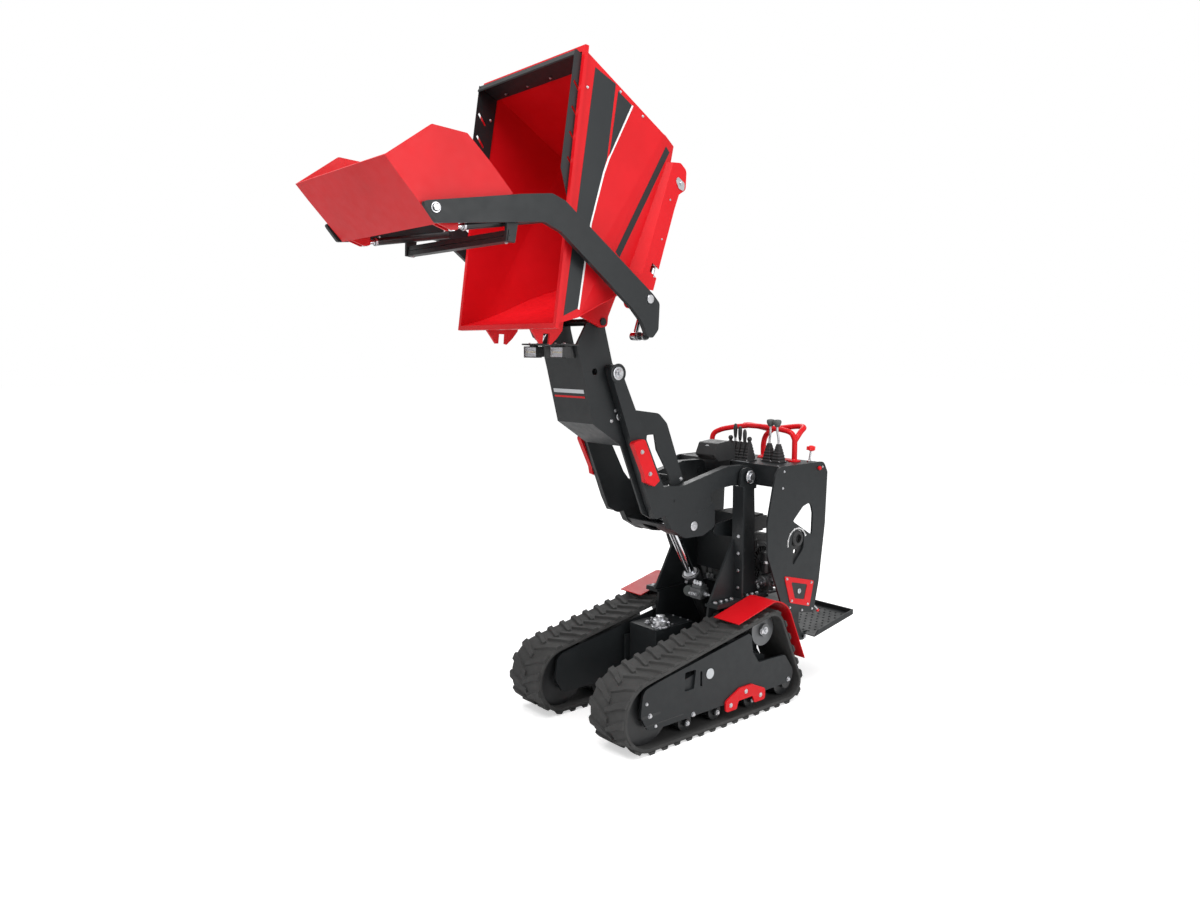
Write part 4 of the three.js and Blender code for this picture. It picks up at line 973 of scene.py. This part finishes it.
def makeBoomStripes():
    # two plain straight bands across the cover
    low, high = Vector((0, *boomFront["low"])), Vector((0, *boomFront["high"]))
    up = (high - low).normalized()
    out = Vector((0, -up.z, up.y))
    half = boomFront["half"]
    for name, (material, bottom, top) in boomFront["bands"].items():
        maker = Maker()
        outline = [(-half, bottom), (half, bottom), (half, top), (-half, top)]
        maker.prism(outline, low + out * 0.05, Vector((1, 0, 0)), up, out * boomFront["film"])
        maker.piece("boom_stripes_" + name, material, "boom")


lamp = {"x": 88, "half": 44, "front": -258, "rear": -216, "low": 1598, "high": 1644}


def makeLamps():
    shell = Maker()
    glass = Maker()
    shiny = Maker()
    diodes = Maker()
    low, high, front, rear = lamp["low"], lamp["high"], lamp["front"], lamp["rear"]
    shell.slab([(-268, 1649), (-178, 1645), (-178, 1651), (-268, 1655.6)], -132, 132)
    shell.slab([(-164.6, 1597), (-177.8, 1651), (-183.8, 1651), (-170.6, 1597)], -92, 92)
    for side in (1, -1):
        x0 = side * lamp["x"] - lamp["half"]
        x1 = side * lamp["x"] + lamp["half"]
        middle = side * lamp["x"]
        shell.box(x0, x1, front + 14, rear - 14, low, high)
        for k in range(8):
            fin = x0 + 5 + k * 11
            shell.box(fin, fin + 3, rear - 15, rear, low + 3, high - 3)
        # the bezel
        for a, b, c, d in ((x0, x1, low, low + 4), (x0, x1, high - 4, high), (x0, x0 + 4, low, high),
            (x1 - 4, x1, low, high)):
            shell.box(a, b, front, front + 15, c, d)
        shell.box(middle - 14, middle + 14, -250, -226, high - 0.5, high + 5)
        # a bright trough with a row of small diodes
        shiny.box(x0 + 4, x1 - 4, front + 11, front + 14.5, low + 4, high - 4)
        shiny.box(x0 + 4, x1 - 4, front + 5, front + 12, low + 4, low + 9)
        shiny.box(x0 + 4, x1 - 4, front + 5, front + 12, high - 9, high - 4)
        for k in range(6):
            diode = middle + (k - 2.5) * 12.5
            diodes.box(diode - 3.5, diode + 3.5, front + 9.6, front + 11.2, 1617.5, 1624.5)
        glass.box(x0 + 4, x1 - 4, front + 1.5, front + 4, low + 4, high - 4)
    made = shell.piece("lamp_housings", "blackSteel", "boom", "black_cover", 1.2)
    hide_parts("work_lamps")
    glass.piece("lamp_lenses", "lampLens", "boom")
    shiny.piece("lamp_reflectors", "silverFilm", "boom", "bright_steel", 1)
    diodes.piece("lamp_diodes", "diodeYellow", "boom")
    bolts = Maker()
    for x in (60, 116):
        bolts.bolt((x, -238, 1654.4), (0, 0.04, 1), 5)
    bolts.piece("lamp_bolts", "zincPlate", "boom", "bright_steel", 0.2, both=True)


makeArmTrim()
makeBoomStripes()
makeLamps()
print("stage: arm and boom")


cylinders = {
    # body, base, eye, shut length, barrel and rod radii, x, space
    "lift": ("lift_barrel", (760, 290), (450, 850), 384, 40, 22, 0, onMachine),
    "tip": ("tip_barrel", (43, 1356), (-40, 1820), 341, 25, 15, 0, onMachine),
    "arm_left": ("arm_barrel_left", (636, -566), (10, -422), 370, 19, 10, 291, onSkip),
    "arm_right": ("arm_barrel_right", (636, -566), (10, -422), 370, 19, 10, -291, onSkip),
    "tilt_left": ("tilt_barrel_left", (362, 87), (263, 448), 355, 14, 8, 318, onSkip),
    "tilt_right": ("tilt_barrel_right", (362, 87), (263, 448), 355, 14, 8, -318, onSkip),
}


def makeGlands():
    for name, (body, base, eye, shut, barrel, rod, x, space) in cylinders.items():
        start = Vector((x, *base))
        along = (Vector((x, *eye)) - start).normalized()
        end = shut - rod * 1.7 - 5
        ring = Maker(space)
        ring.lathe([(barrel + 0.1, 0), (barrel + 1.6, 1), (barrel + 1.6, 9), (barrel + 0.1, 10)],
                   start + along * (end - 12), along, 32)
        ring.lathe([(rod + 0.6, 0), (barrel * 0.86, 0), (barrel * 0.8, 3), (rod + 0.6, 3)],
            start + along * (end + 0.2),
                   along, 32)
        up = along.cross(Vector((1, 0, 0))) * (1 if space is onSkip else -1)
        port = min(barrel * 0.34, 8)
        for spot in (barrel * 1.5, end - 26):
            fitting(ring, start + along * spot + up * barrel * 0.96, up, port, port * 1.6)
        ring.piece("gland_" + name, "zincPlate", body, "bright_steel", 0.3)


makeGlands()


skip = {
    "side": 320,
    "film": 0.5,
    "band": [(38, -41), (73, -104), (269, -117), (391, -128), (583, -166), (640, -180), (915, -191),
    (946, -88)],
    "wedge": [(894, -205), (861, -277), (650, -190)],
    "line": [(861, -281), (640, -188), (583, -170), (391, -131), (269, -121), (70, -108)],
    "lineWidths": [9, 8, 9, 8, 8, 8],
    "fold": ((300, -232), (703, -420)),  # where the side wall turns in
    "slope": 0.2985,  # how far it turns in for each millimetre down
    "strip": (24, 520, 28, 62),
}


def onSlope(along, down):
    front, rear = (Vector(p) for p in skip["fold"])
    ahead = (rear - front).normalized()
    below = Vector((ahead.y, -ahead.x))
    spot = front + ahead * along + below * down
    return Vector((skip["side"] - skip["slope"] * down, spot.x, spot.y))


def makeSkipFilms():
    band = Maker(onSkip)
    x = skip["side"] + 0.1
    band.slab(skip["band"], x, x + skip["film"])
    band.slab(skip["wedge"], x, x + skip["film"])
    a0, a1, d0, d1 = skip["strip"]
    origin = onSlope(0, 0)
    along = (onSlope(1, 0) - origin).normalized()
    down = onSlope(0, 1) - origin
    out = along.cross(down).normalized()
    if out.x < 0:
        out = -out
    band.prism([(a0, d0), (a1, d0), (a1, d1), (a0, d1)], origin + out * 0.1, along, down,
        out * skip["film"])
    band.piece("skip_bands", "darkFilm", "skip", None, 0, both=True)
    white = Maker(onSkip)
    white.slab(strokeOutline(skip["line"], skip["lineWidths"]), x, x + skip["film"])
    white.piece("skip_lines", "whiteFilm", "skip", None, 0, both=True)


def makeSkipHardware():
    silver = Maker(onSkip)
    side = skip["side"]
    for y, z in ((894, -216), (836, -336), (866, -60)):
        silver.bolt((side, y, z), (1, 0, 0), 4.5)
    for y, z in ((560, -46), (700, -52), (860, -60)):
        silver.bolt((side - 7.4, y, z), (-1, 0, 0), 5)
    for y in (250, 400, 560):
        silver.capScrew((317.2, y, -470 - (y - 250) * 0.16), (1, 0, 0), 4.5)
    # the teardrop keeper on the cylinder's base pin
    silver.slab([(606, -590, 14), (640, -588, 14), (658, -548, 14), (640, -540, 14), (612, -560, 16)],
        317.2, 320.6)
    silver.bolt((320.6, 634, -568), (1, 0, 0), 7)
    silver.piece("skip_hardware", "zincPlate", "skip", "bright_steel", 0.4, both=True)
    rear = Maker(onSkip)
    for x in (-220, -70, 80, 230):
        rear.bolt((x, 951.2, -64), (0, -1, 0), 5)
    rear.piece("guard_bolts", "zincPlate", "skip", "bright_steel", 0.3)
    beads = Maker(onSkip)
    # weld beads where the walls meet
    for s in (1, -1):
        beads.tube([(s * 247, 282, -525.6), (s * 247, 768, -525.6)], 2.2, 8)
        beads.tube([(s * 247, 282, -525.6), (s * 250, 240, -484), (s * 283, 166, -318)], 2.0, 8)
        beads.tube([(s * 318, 26, -20), (s * 318, 42, -104), (s * 318, 158, -306)], 1.8, 8)
    beads.tube([(-246, 770, -524.6), (246, 770, -524.6)], 2.2, 8)
    beads.piece("skip_welds", "redPaint", "skip", "red_paint")


loader = {"outer": 376, "pivot": (150, -407), "shovel": (301, 545), "crank": (10, -422)}


def makeLoaderHardware():
    silver = Maker(onSkip)
    x = loader["outer"]
    silver.lathe([(0, 0), (17, 0), (17, 4.5), (15, 6.4), (0, 6.4)], (x, *loader["pivot"]), (1, 0, 0), 36)
    silver.lathe([(0, 0), (17, 0), (17, 2), (0, 2)], (x, *loader["shovel"]), (1, 0, 0), 32)
    silver.lathe([(0, 0), (12.5, 0), (12.5, 5), (11, 6.4), (0, 6.4)], (x + 2, *loader["shovel"]),
        (1, 0, 0), 6)
    for x0 in (311, 322, 352):
        silver.lathe([(14.1, 0), (17, 0), (17, 3), (14.1, 3)], (x0 - 4, *loader["crank"]), (1, 0, 0), 28)
    silver.bolt((306.4, *loader["crank"]), (-1, 0, 0), 8)
    silver.piece("loader_arm_pins", "zincPlate", "loader_arms", "bright_steel", 0.4, both=True)
    bolts = Maker(onSkip)
    for s in (1, -1):
        bolts.bolt((s * 330, 250.5, 238), (0, -1, 0), 6)
    bolts.piece("cross_bar_bolts", "zincPlate", "loader_arms", "bright_steel", 0.3)


def makeShovelTrim():
    red = Maker(onSkip)
    # the folded edge of the shovel's lip and its stiffening ribs below
    red.tube([(-340, 432.6, 712), (340, 432.6, 712)], 1.6, 8)
    for s in (1, -1):
        red.tube([(s * 341, 262, 524), (s * 341, 386, 664), (s * 341, 432, 712)], 2.0, 8)
    red.piece("shovel_welds", "redPaint", "shovel", "red_paint")
    silver = Maker(onSkip)
    for s in (1, -1):
        silver.lathe([(0, 0), (13, 0), (13, 3), (0, 3)], (s * (342 - 0.2), 301, 545), (-s, 0, 0), 28)
    silver.piece("shovel_pins", "zincPlate", "shovel", "bright_steel", 0.3)


makeSkipFilms()
makeSkipHardware()
makeLoaderHardware()
makeShovelTrim()
print("stage: skip")


console = {
    "x": 332,
    "plate": [(871, 588, 10), (1092, 532, 10), (1062, 412, 10), (917, 454, 10)],
    "window": [(922, 552, 6), (1042, 522, 6), (1022, 452, 8), (950, 470, 8)],
    "corners": [(890, 572), (1072, 527), (1048, 426), (928, 462)],
    "dial": (962, 735, 66),
    "drop": [(930, 610, 6), (1022, 690, 36), (1008, 782, 36), (930, 790, 36), (908, 712, 26)],
}


def makeConsoleTrim():
    x = console["x"]
    red = Maker()
    red.slab(console["plate"], x + 0.2, x + 3.2, [console["window"]])
    red.lathe([(0, 0), (9, 0), (10, 3), (9, 9), (6, 12), (0, 13)], (x + 0.3, 1112, 1072), (1, 0, 0), 28)
    red.piece("side_plate_left", "redPaint", "chassis", "red_paint", 0.6)
    mirror = Maker()
    mirror.slab(console["plate"], -x - 3.2, -x - 0.2, [console["window"]])
    mirror.piece("side_plate_right", "redPaint", "chassis", "red_paint", 0.6)
    dark = Maker()
    dark.slab(console["window"], x + 0.2, x + 1.4)
    dark.slab(console["drop"], x - 22, x - 12, [circle(962, 690, 12, 24)])
    dark.lathe([(20, 0), (36, 0), (38, 3), (38, 12), (34, 16), (24, 18), (20, 16), (20, 0)],
        (x - 12, 968, 752), (1, 0, 0), 40)
    dark.piece("console_insets", "blackPlastic", "chassis", "black_cover", 0.6)
    silver = Maker()
    for y, z in console["corners"]:
        silver.bolt((x + 3.2, y, z), (1, 0, 0), 5.5)
        silver.bolt((-x - 3.2, y, z), (-1, 0, 0), 5.5)
    silver.lathe([(0, 0), (12, 0), (12, 2), (8, 3.4), (0, 3.4)], (x + 1.4, 984, 499), (1, 0, 0), 28)
    for y, z in ((858, 1076), (1140, 1076), (850, 1000), (920, 430), (1086, 396), (1010, 402)):
        silver.bolt((x, y, z), (1, 0, 0), 5)
        silver.bolt((-x, y, z), (-1, 0, 0), 5)
    silver.piece("console_bolts", "zincPlate", "chassis", "bright_steel", 0.3)
    # a thin black sheet on the lock: painted shade for the keyhole
    keyholeShade = Maker()
    keyholeShade.box(x + 4.2, x + 5, 983, 985, 492, 506)
    keyholeShade.piece("console_keyhole_shade", "blackPlastic", "chassis", "black_cover")
    white = Maker()
    y0, z0, r = console["dial"]
    steps = 30
    for k in range(steps):
        a = math.radians(20 + k * 175 / steps)
        b = math.radians(20 + (k + 0.62) * 175 / steps)
        inner, outer = (r - 3, r + 3) if k % 5 else (r - 5, r + 6)
        white.slab([(y0 + inner * math.cos(a), z0 + inner * math.sin(a)),
            (y0 + outer * math.cos(a), z0 + outer * math.sin(a)),
                    (y0 + outer * math.cos(b), z0 + outer * math.sin(b)),
                    (y0 + inner * math.cos(b), z0 + inner * math.sin(b))],
                   x + 0.1, x + 0.5)
    white.piece("dial_scale", "whiteFilm", "chassis")


deck = {"top": 1098, "leverX": [-40, -10, 20, 50, 80], "leverY": 905}


def bellows(maker, x, y, z, halfX, halfY, height, topX, topY, folds):
    # a pleated boot from a wide foot to a narrow neck
    rings = []
    for k in range(folds * 2 + 1):
        t = k / (folds * 2)
        pleat = 1.0 if k % 2 == 0 else 0.88
        taper = t ** 1.25
        wide = (halfX + (topX - halfX) * taper) * pleat
        deep = (halfY + (topY - halfY) * taper) * pleat
        corner = min(wide, deep) * 0.25
        outline = roundedOutline([(x - wide, y - deep, corner), (x + wide, y - deep, corner),
                                  (x + wide, y + deep, corner), (x - wide, y + deep, corner)])
        rings.append([maker.mesh.verts.new((p.x, p.y, z + height * t)) for p in outline])
    for one, two in zip(rings, rings[1:]):
        for i in range(len(one)):
            j = (i + 1) % len(one)
            maker.mesh.faces.new([one[i], one[j], two[j], two[i]])
    maker.mesh.faces.new(rings[0])
    maker.mesh.faces.new(rings[-1])


def makeLevers():
    z = deck["top"] + 0.4
    boots = Maker()
    rods = Maker()
    grips = Maker()
    boots.box(-57, 97, 870, 940, z, z + 5)
    for i, x in enumerate(deck["leverX"]):
        tall = 0 < i < 4
        y = deck["leverY"]
        bellows(boots, x, y, z + 5, 14.4, 33, 84, 8, 9, 6)
        if tall:
            top = 1285 - i * 12
            rods.rod((x, y, z + 84), (x, y, top - 62), 5.5, 20)
            grips.lathe([(0, 0), (6, 0), (7, 6), (8, 14), (9.6, 34), (9.8, 50), (7.6, 62), (4, 68),
                (0, 69)],
                        (x, y, top - 69), (0, 0, 1), 28)
        else:
            rods.rod((x, y, z + 84), (x, y, 1200), 4.5, 20)
            grips.ball((x, y, 1203), 11.8)
            grips.lathe([(0, 0), (8, 0), (8, 8), (5, 10), (0, 10)], (x, y, 1186), (0, 0, 1), 20)
    made = boots.piece("lever_boots", "bootRubber", "chassis", "black_cover", 0.5)
    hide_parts("lever_bank")
    rods.piece("lever_rods", "zincPlate", "chassis", "bright_steel")
    grips.piece("lever_grips", "blackPlastic", "chassis", "black_cover")
    plate = Maker()
    plate.box(-70, 112, 856, 866, z - 0.3, z + 1.2)
    for x in range(-66, 110, 11):
        plate.box(x, x + 3, 858, 864, z + 1.2, z + 1.8)
    plate.piece("lever_scale", "silverFilm", "chassis")


valve = {"spools": [-40, -10, 20, 50, 80], "front": 876, "rear": 946, "low": 1030, "high": 1087.6}


def makeValve():
    # the spool valve under the deck: one section for each lever
    cast = Maker()
    low, high = valve["low"], valve["high"]
    cast.box(-57, 97, valve["front"] + 6, valve["rear"] - 6, low + 4, high)
    for x in valve["spools"]:
        cast.box(x - 12.6, x + 12.6, valve["front"] + 1, valve["rear"] - 1, low + 0.5, high - 10)
    made = cast.piece("valve_sections", "castMetal", "chassis", "dark_paint", 1)
    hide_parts("control_valve")
    silver = Maker()
    for x in valve["spools"]:
        silver.rod((x, 905, low - 21), (x, 905, low + 1), 8.5, 24, 1.5)
        silver.bolt((x, valve["front"] + 1, high - 24), (0, -1, 0), 6)
        fitting(silver, (x, valve["front"] + 1, low + 14), (0, -1, 0), 7.5, 24)
    for y in (888, 934):
        silver.bolt((97, y, low + 30), (1, 0, 0), 6)
        silver.bolt((-57, y, low + 30), (-1, 0, 0), 6)
    silver.piece("valve_fittings", "zincPlate", "chassis", "bright_steel", 0.3)
    pod = Maker()
    for x in (-58, 38):
        pod.capScrew((x, 780, 1198), (0, 0, 1), 4)
    pod.rod((-10, 709, 1166), (-10, 716, 1166), 17, 32)
    pod.piece("pod_details", "zincPlate", "chassis", "bright_steel", 0.3)


def makeTravelLevers():
    z = deck["top"] + 0.4
    boots = Maker()
    rods = Maker()
    grips = Maker()
    base = Maker()
    base.box(121, 235, 939, 997, z, z + 5)
    for x, lean in ((150, 12), (206, -4)):
        bellows(boots, x, 968, z + 5, 26, 27, 82, 9, 9, 6)
        end = (x + lean, 960, 1270)
        rods.tube(smoothLine([(x, 968, z + 84), (x + lean * 0.2, 967, 1210),
            (x + lean * 0.9, 961, 1246), end]), 5.6, 18)
        grips.lathe([(0, 0), (10, 0), (13, 5), (19, 18), (19.4, 27), (16, 33), (8, 35), (0, 35)],
                    (end[0], end[1], 1266), (0, 0, 1), 32)
    made = boots.piece("travel_boots", "bootRubber", "chassis", "black_cover", 0.5)
    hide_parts("travel_levers")
    base.piece("travel_base", "blackPlastic", "chassis", "black_cover", 1)
    rods.piece("travel_rods", "zincPlate", "chassis", "bright_steel")
    grips.piece("travel_grips", "greyGrip", "chassis", "black_cover")
    hardware = Maker()
    for x in (126, 178, 230):
        for y in (944, 992):
            hardware.capScrew((x, y, z + 5), (0, 0, 1), 4.5)
    for x in (-52, 92):
        for y in (875, 935):
            hardware.capScrew((x, y, z + 5), (0, 0, 1), 4)
    for x in (-300, -180, -60, 300):
        for y in (852, 1122):
            hardware.capScrew((x, y, z - 0.3), (0, 0, 1), 5)
    hardware.piece("deck_screws", "zincPlate", "chassis", "bright_steel", 0.2)


handlebarRuns = {
    "radius": 13,
    "runs": [
        [(235, 1050, 0), (235, 1050, 1175), (232, 1048, 1212), (196, 1047, 1240), (60, 1048, 1252),
        (-60, 1050, 1252),
         (-90, 1066, 1252), (-60, 1092, 1250), (60, 1100, 1236)],
        [(234, 1051, 1195), (236, 1090, 1236), (228, 1125, 1256), (180, 1136, 1258), (60, 1100, 1240)],
        [(60, 1100, 1240), (20, 1096, 1205), (10, 1090, 1160), (10, 1090, 0)],
        [(-60, 1050, 1251), (-140, 1040, 1240), (-210, 1010, 1222), (-240, 990, 1190), (-240, 990, 0)],
    ],
    "feet": [(235, 1050, 30), (10, 1090, 26), (-240, 990, 26)],
}


def makeHandlebar():
    z = deck["top"] + 0.4
    maker = Maker()
    for run in handlebarRuns["runs"]:
        points = [(x, y, h or z) for x, y, h in run]
        maker.tube(smoothLine(points, 12), handlebarRuns["radius"], 24)
    for x, y, r in handlebarRuns["feet"]:
        maker.lathe([(0, 0), (r, 0), (r, 6), (r - 2, 8), (15, 9), (13, 12), (0, 12)], (x, y, z),
            (0, 0, 1), 36)
    maker.box(10, 235, 1044, 1098, z, z + 5)
    made = maker.piece("handle_tube", "redPaint", "chassis", "red_paint", 0.5)
    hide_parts("handlebar")
    bolts = Maker()
    for x, y, r in handlebarRuns["feet"]:
        for k in range(3):
            a = 2 * math.pi * k / 3 + 0.6
            bolts.bolt((x + (r - 7) * math.cos(a), y + (r - 7) * math.sin(a), z + 8), (0, 0, 1), 4)
    bolts.piece("handle_bolts", "zincPlate", "chassis", "bright_steel", 0.2)


def makeKnobs():
    # the star knob on its clamping rod, and the platform's latch lever
    z = deck["top"]
    rod = Maker()
    rod.rod((288, 1094, z), (292, 1102, 1156), 5, 18)
    rod.lathe([(0, 0), (11, 0), (11, 7), (8, 10), (0, 10)], (288, 1094, z), (0, 0, 1), 6)
    rod.box(306, 320, 1090.3, 1102, 396, 422)
    rod.tube(smoothLine([(313, 1100, 408), (313, 1124, 400), (313, 1146, 384), (313, 1153, 376)]), 4, 16)
    rod.piece("knob_rods", "zincPlate", "chassis", "bright_steel", 0.4)
    knob = Maker()
    knob.lathe([(0, 0), (10, 0), (14, 4), (14, 22), (10, 26), (0, 27)], (292, 1102, 1150),
        (0.04, 0.1, 1), 28)
    for k in range(5):
        a = 2 * math.pi * k / 5
        knob.rod((292 + 15 * math.cos(a), 1102 + 15 * math.sin(a), 1154),
            (292 + 15 * math.cos(a), 1104 + 15 * math.sin(a), 1172),
                 7, 16, 1.5)
    knob.ball((313, 1156, 371), 8)
    knob.piece("red_knobs", "redPlastic", "chassis", "red_paint", 0.5)


makeConsoleTrim()
makeLevers()
makeValve()
makeTravelLevers()
makeHandlebar()
makeKnobs()
print("stage: console")


platform = {"hinge": (1128, 232), "length": 340, "half": 300, "pitch": 34}


def makePlatformGrip():
    y0, z0 = platform["hinge"]
    start = Vector((0, y0 + 26, z0 + 6.2))
    end = Vector((0, y0 + platform["length"], z0 + 62.2))
    along = (end - start).normalized()
    up = Vector((0, -along.z, along.y))
    studs = Maker()
    row = 0
    distance = 34.0
    while distance < (end - start).length - 24:
        shift = platform["pitch"] / 2 * (row % 2)
        x = -platform["half"] + 30 + shift
        while x < platform["half"] - 26:
            at = start + along * distance + Vector((x, 0, 0))
            studs.lathe([(6.5, -0.4), (6.2, 0.6), (4.4, 2.2), (2.4, 2.2), (2.2, 0.5), (0, 0.5)], at, up, 12)
            x += platform["pitch"]
        distance += platform["pitch"] * 0.8
        row += 1
    studs.piece("platform_grip", "darkPaint", "platform", "dark_paint")
    bolts = Maker()
    bolts.bolt((262, y0, z0), (1, 0, 0), 8)
    bolts.piece("platform_bolts", "zincPlate", "platform", "bright_steel", 0.3, both=True)


makePlatformGrip()
print("stage: platform")


studio = {
    "lens": 28.1516,
    "camera": (3.04677, -2.68225, 1.64690),
    "azimuth": 50.1326,
    "elevation": 6.3447,
    "world": 0.62,
    "lamps": [
        # name, place, aim, width, watts
        ("key", (1.0, -2.4, 6.2), (0, 0.0, 0.9), 3.2, 310),
        ("side", (5.2, 0.8, 2.6), (0, -0.1, 1.3), 3.4, 120),
        ("back", (-3.8, 3.4, 4.4), (0, 0.2, 1.2), 3.0, 90),
    ],
}


def aim(direction):
    return Vector(direction).to_track_quat("-Z", "Y")


def makeCamera():
    data = bpy.data.cameras.new("camera")
    data.lens = studio["lens"]
    data.sensor_width = 36
    camera = bpy.data.objects.new("camera", data)
    bpy.context.scene.collection.objects.link(camera)
    a, e = math.radians(studio["azimuth"]), math.radians(studio["elevation"])
    camera.location = studio["camera"]
    camera.rotation_mode = "QUATERNION"
    camera.rotation_quaternion = aim((-math.sin(a) * math.cos(e), math.cos(a) * math.cos(e), -math.sin(e)))
    bpy.context.scene.camera = camera


def seenDirectly(tree):
    # 1 for camera and transmission rays
    path = addNode(tree, "LightPath")
    either = addNode(tree, "Math", operation="MAXIMUM")
    tree.links.new(path.outputs["Is Camera Ray"], either.inputs[0])
    tree.links.new(path.outputs["Is Transmission Ray"], either.inputs[1])
    return either.outputs[0]


def makeLight():
    world = bpy.data.worlds.new("studio")
    bpy.context.scene.world = world
    world.use_nodes = True
    tree = world.node_tree
    tree.nodes.clear()
    soft = addNode(tree, "Background", Color=(1.0, 1.0, 1.0, 1), Strength=studio["world"])
    white = addNode(tree, "Background", Color=(1, 1, 1, 1), Strength=1)
    mix = addNode(tree, "MixShader")
    out = addNode(tree, "OutputWorld")
    tree.links.new(seenDirectly(tree), mix.inputs[0])
    tree.links.new(soft.outputs[0], mix.inputs[1])
    tree.links.new(white.outputs[0], mix.inputs[2])
    tree.links.new(mix.outputs[0], out.inputs[0])
    for name, place, target, width, watts in studio["lamps"]:
        data = bpy.data.lights.new(name, "AREA")
        data.size = width
        data.energy = watts
        light = bpy.data.objects.new(name, data)
        light.location = place
        light.rotation_mode = "QUATERNION"
        light.rotation_quaternion = aim(Vector(target) - Vector(place))
        bpy.context.scene.collection.objects.link(light)


def makeFloor():
    bpy.ops.mesh.primitive_plane_add(size=80)
    floor = bpy.context.object
    floor.name = "floor"
    made = bpy.data.materials.new("floorPaint")
    made.use_nodes = True
    tree = made.node_tree
    tree.nodes.clear()
    matte = addNode(tree, "BsdfDiffuse", Color=(0.80, 0.80, 0.80, 1))
    glow = addNode(tree, "Emission", Color=(1, 1, 1, 1))
    strength = addNode(tree, "Math", operation="MULTIPLY")
    strength.inputs[1].default_value = 0.52
    tree.links.new(seenDirectly(tree), strength.inputs[0])
    tree.links.new(strength.outputs[0], glow.inputs["Strength"])
    both = addNode(tree, "AddShader")
    out = addNode(tree, "OutputMaterial")
    tree.links.new(matte.outputs[0], both.inputs[0])
    tree.links.new(glow.outputs[0], both.inputs[1])
    tree.links.new(both.outputs[0], out.inputs["Surface"])
    floor.data.materials.append(made)


makeCamera()
makeLight()
makeFloor()
bpy.context.scene.view_settings.view_transform = "Standard"
print("stage: studio")
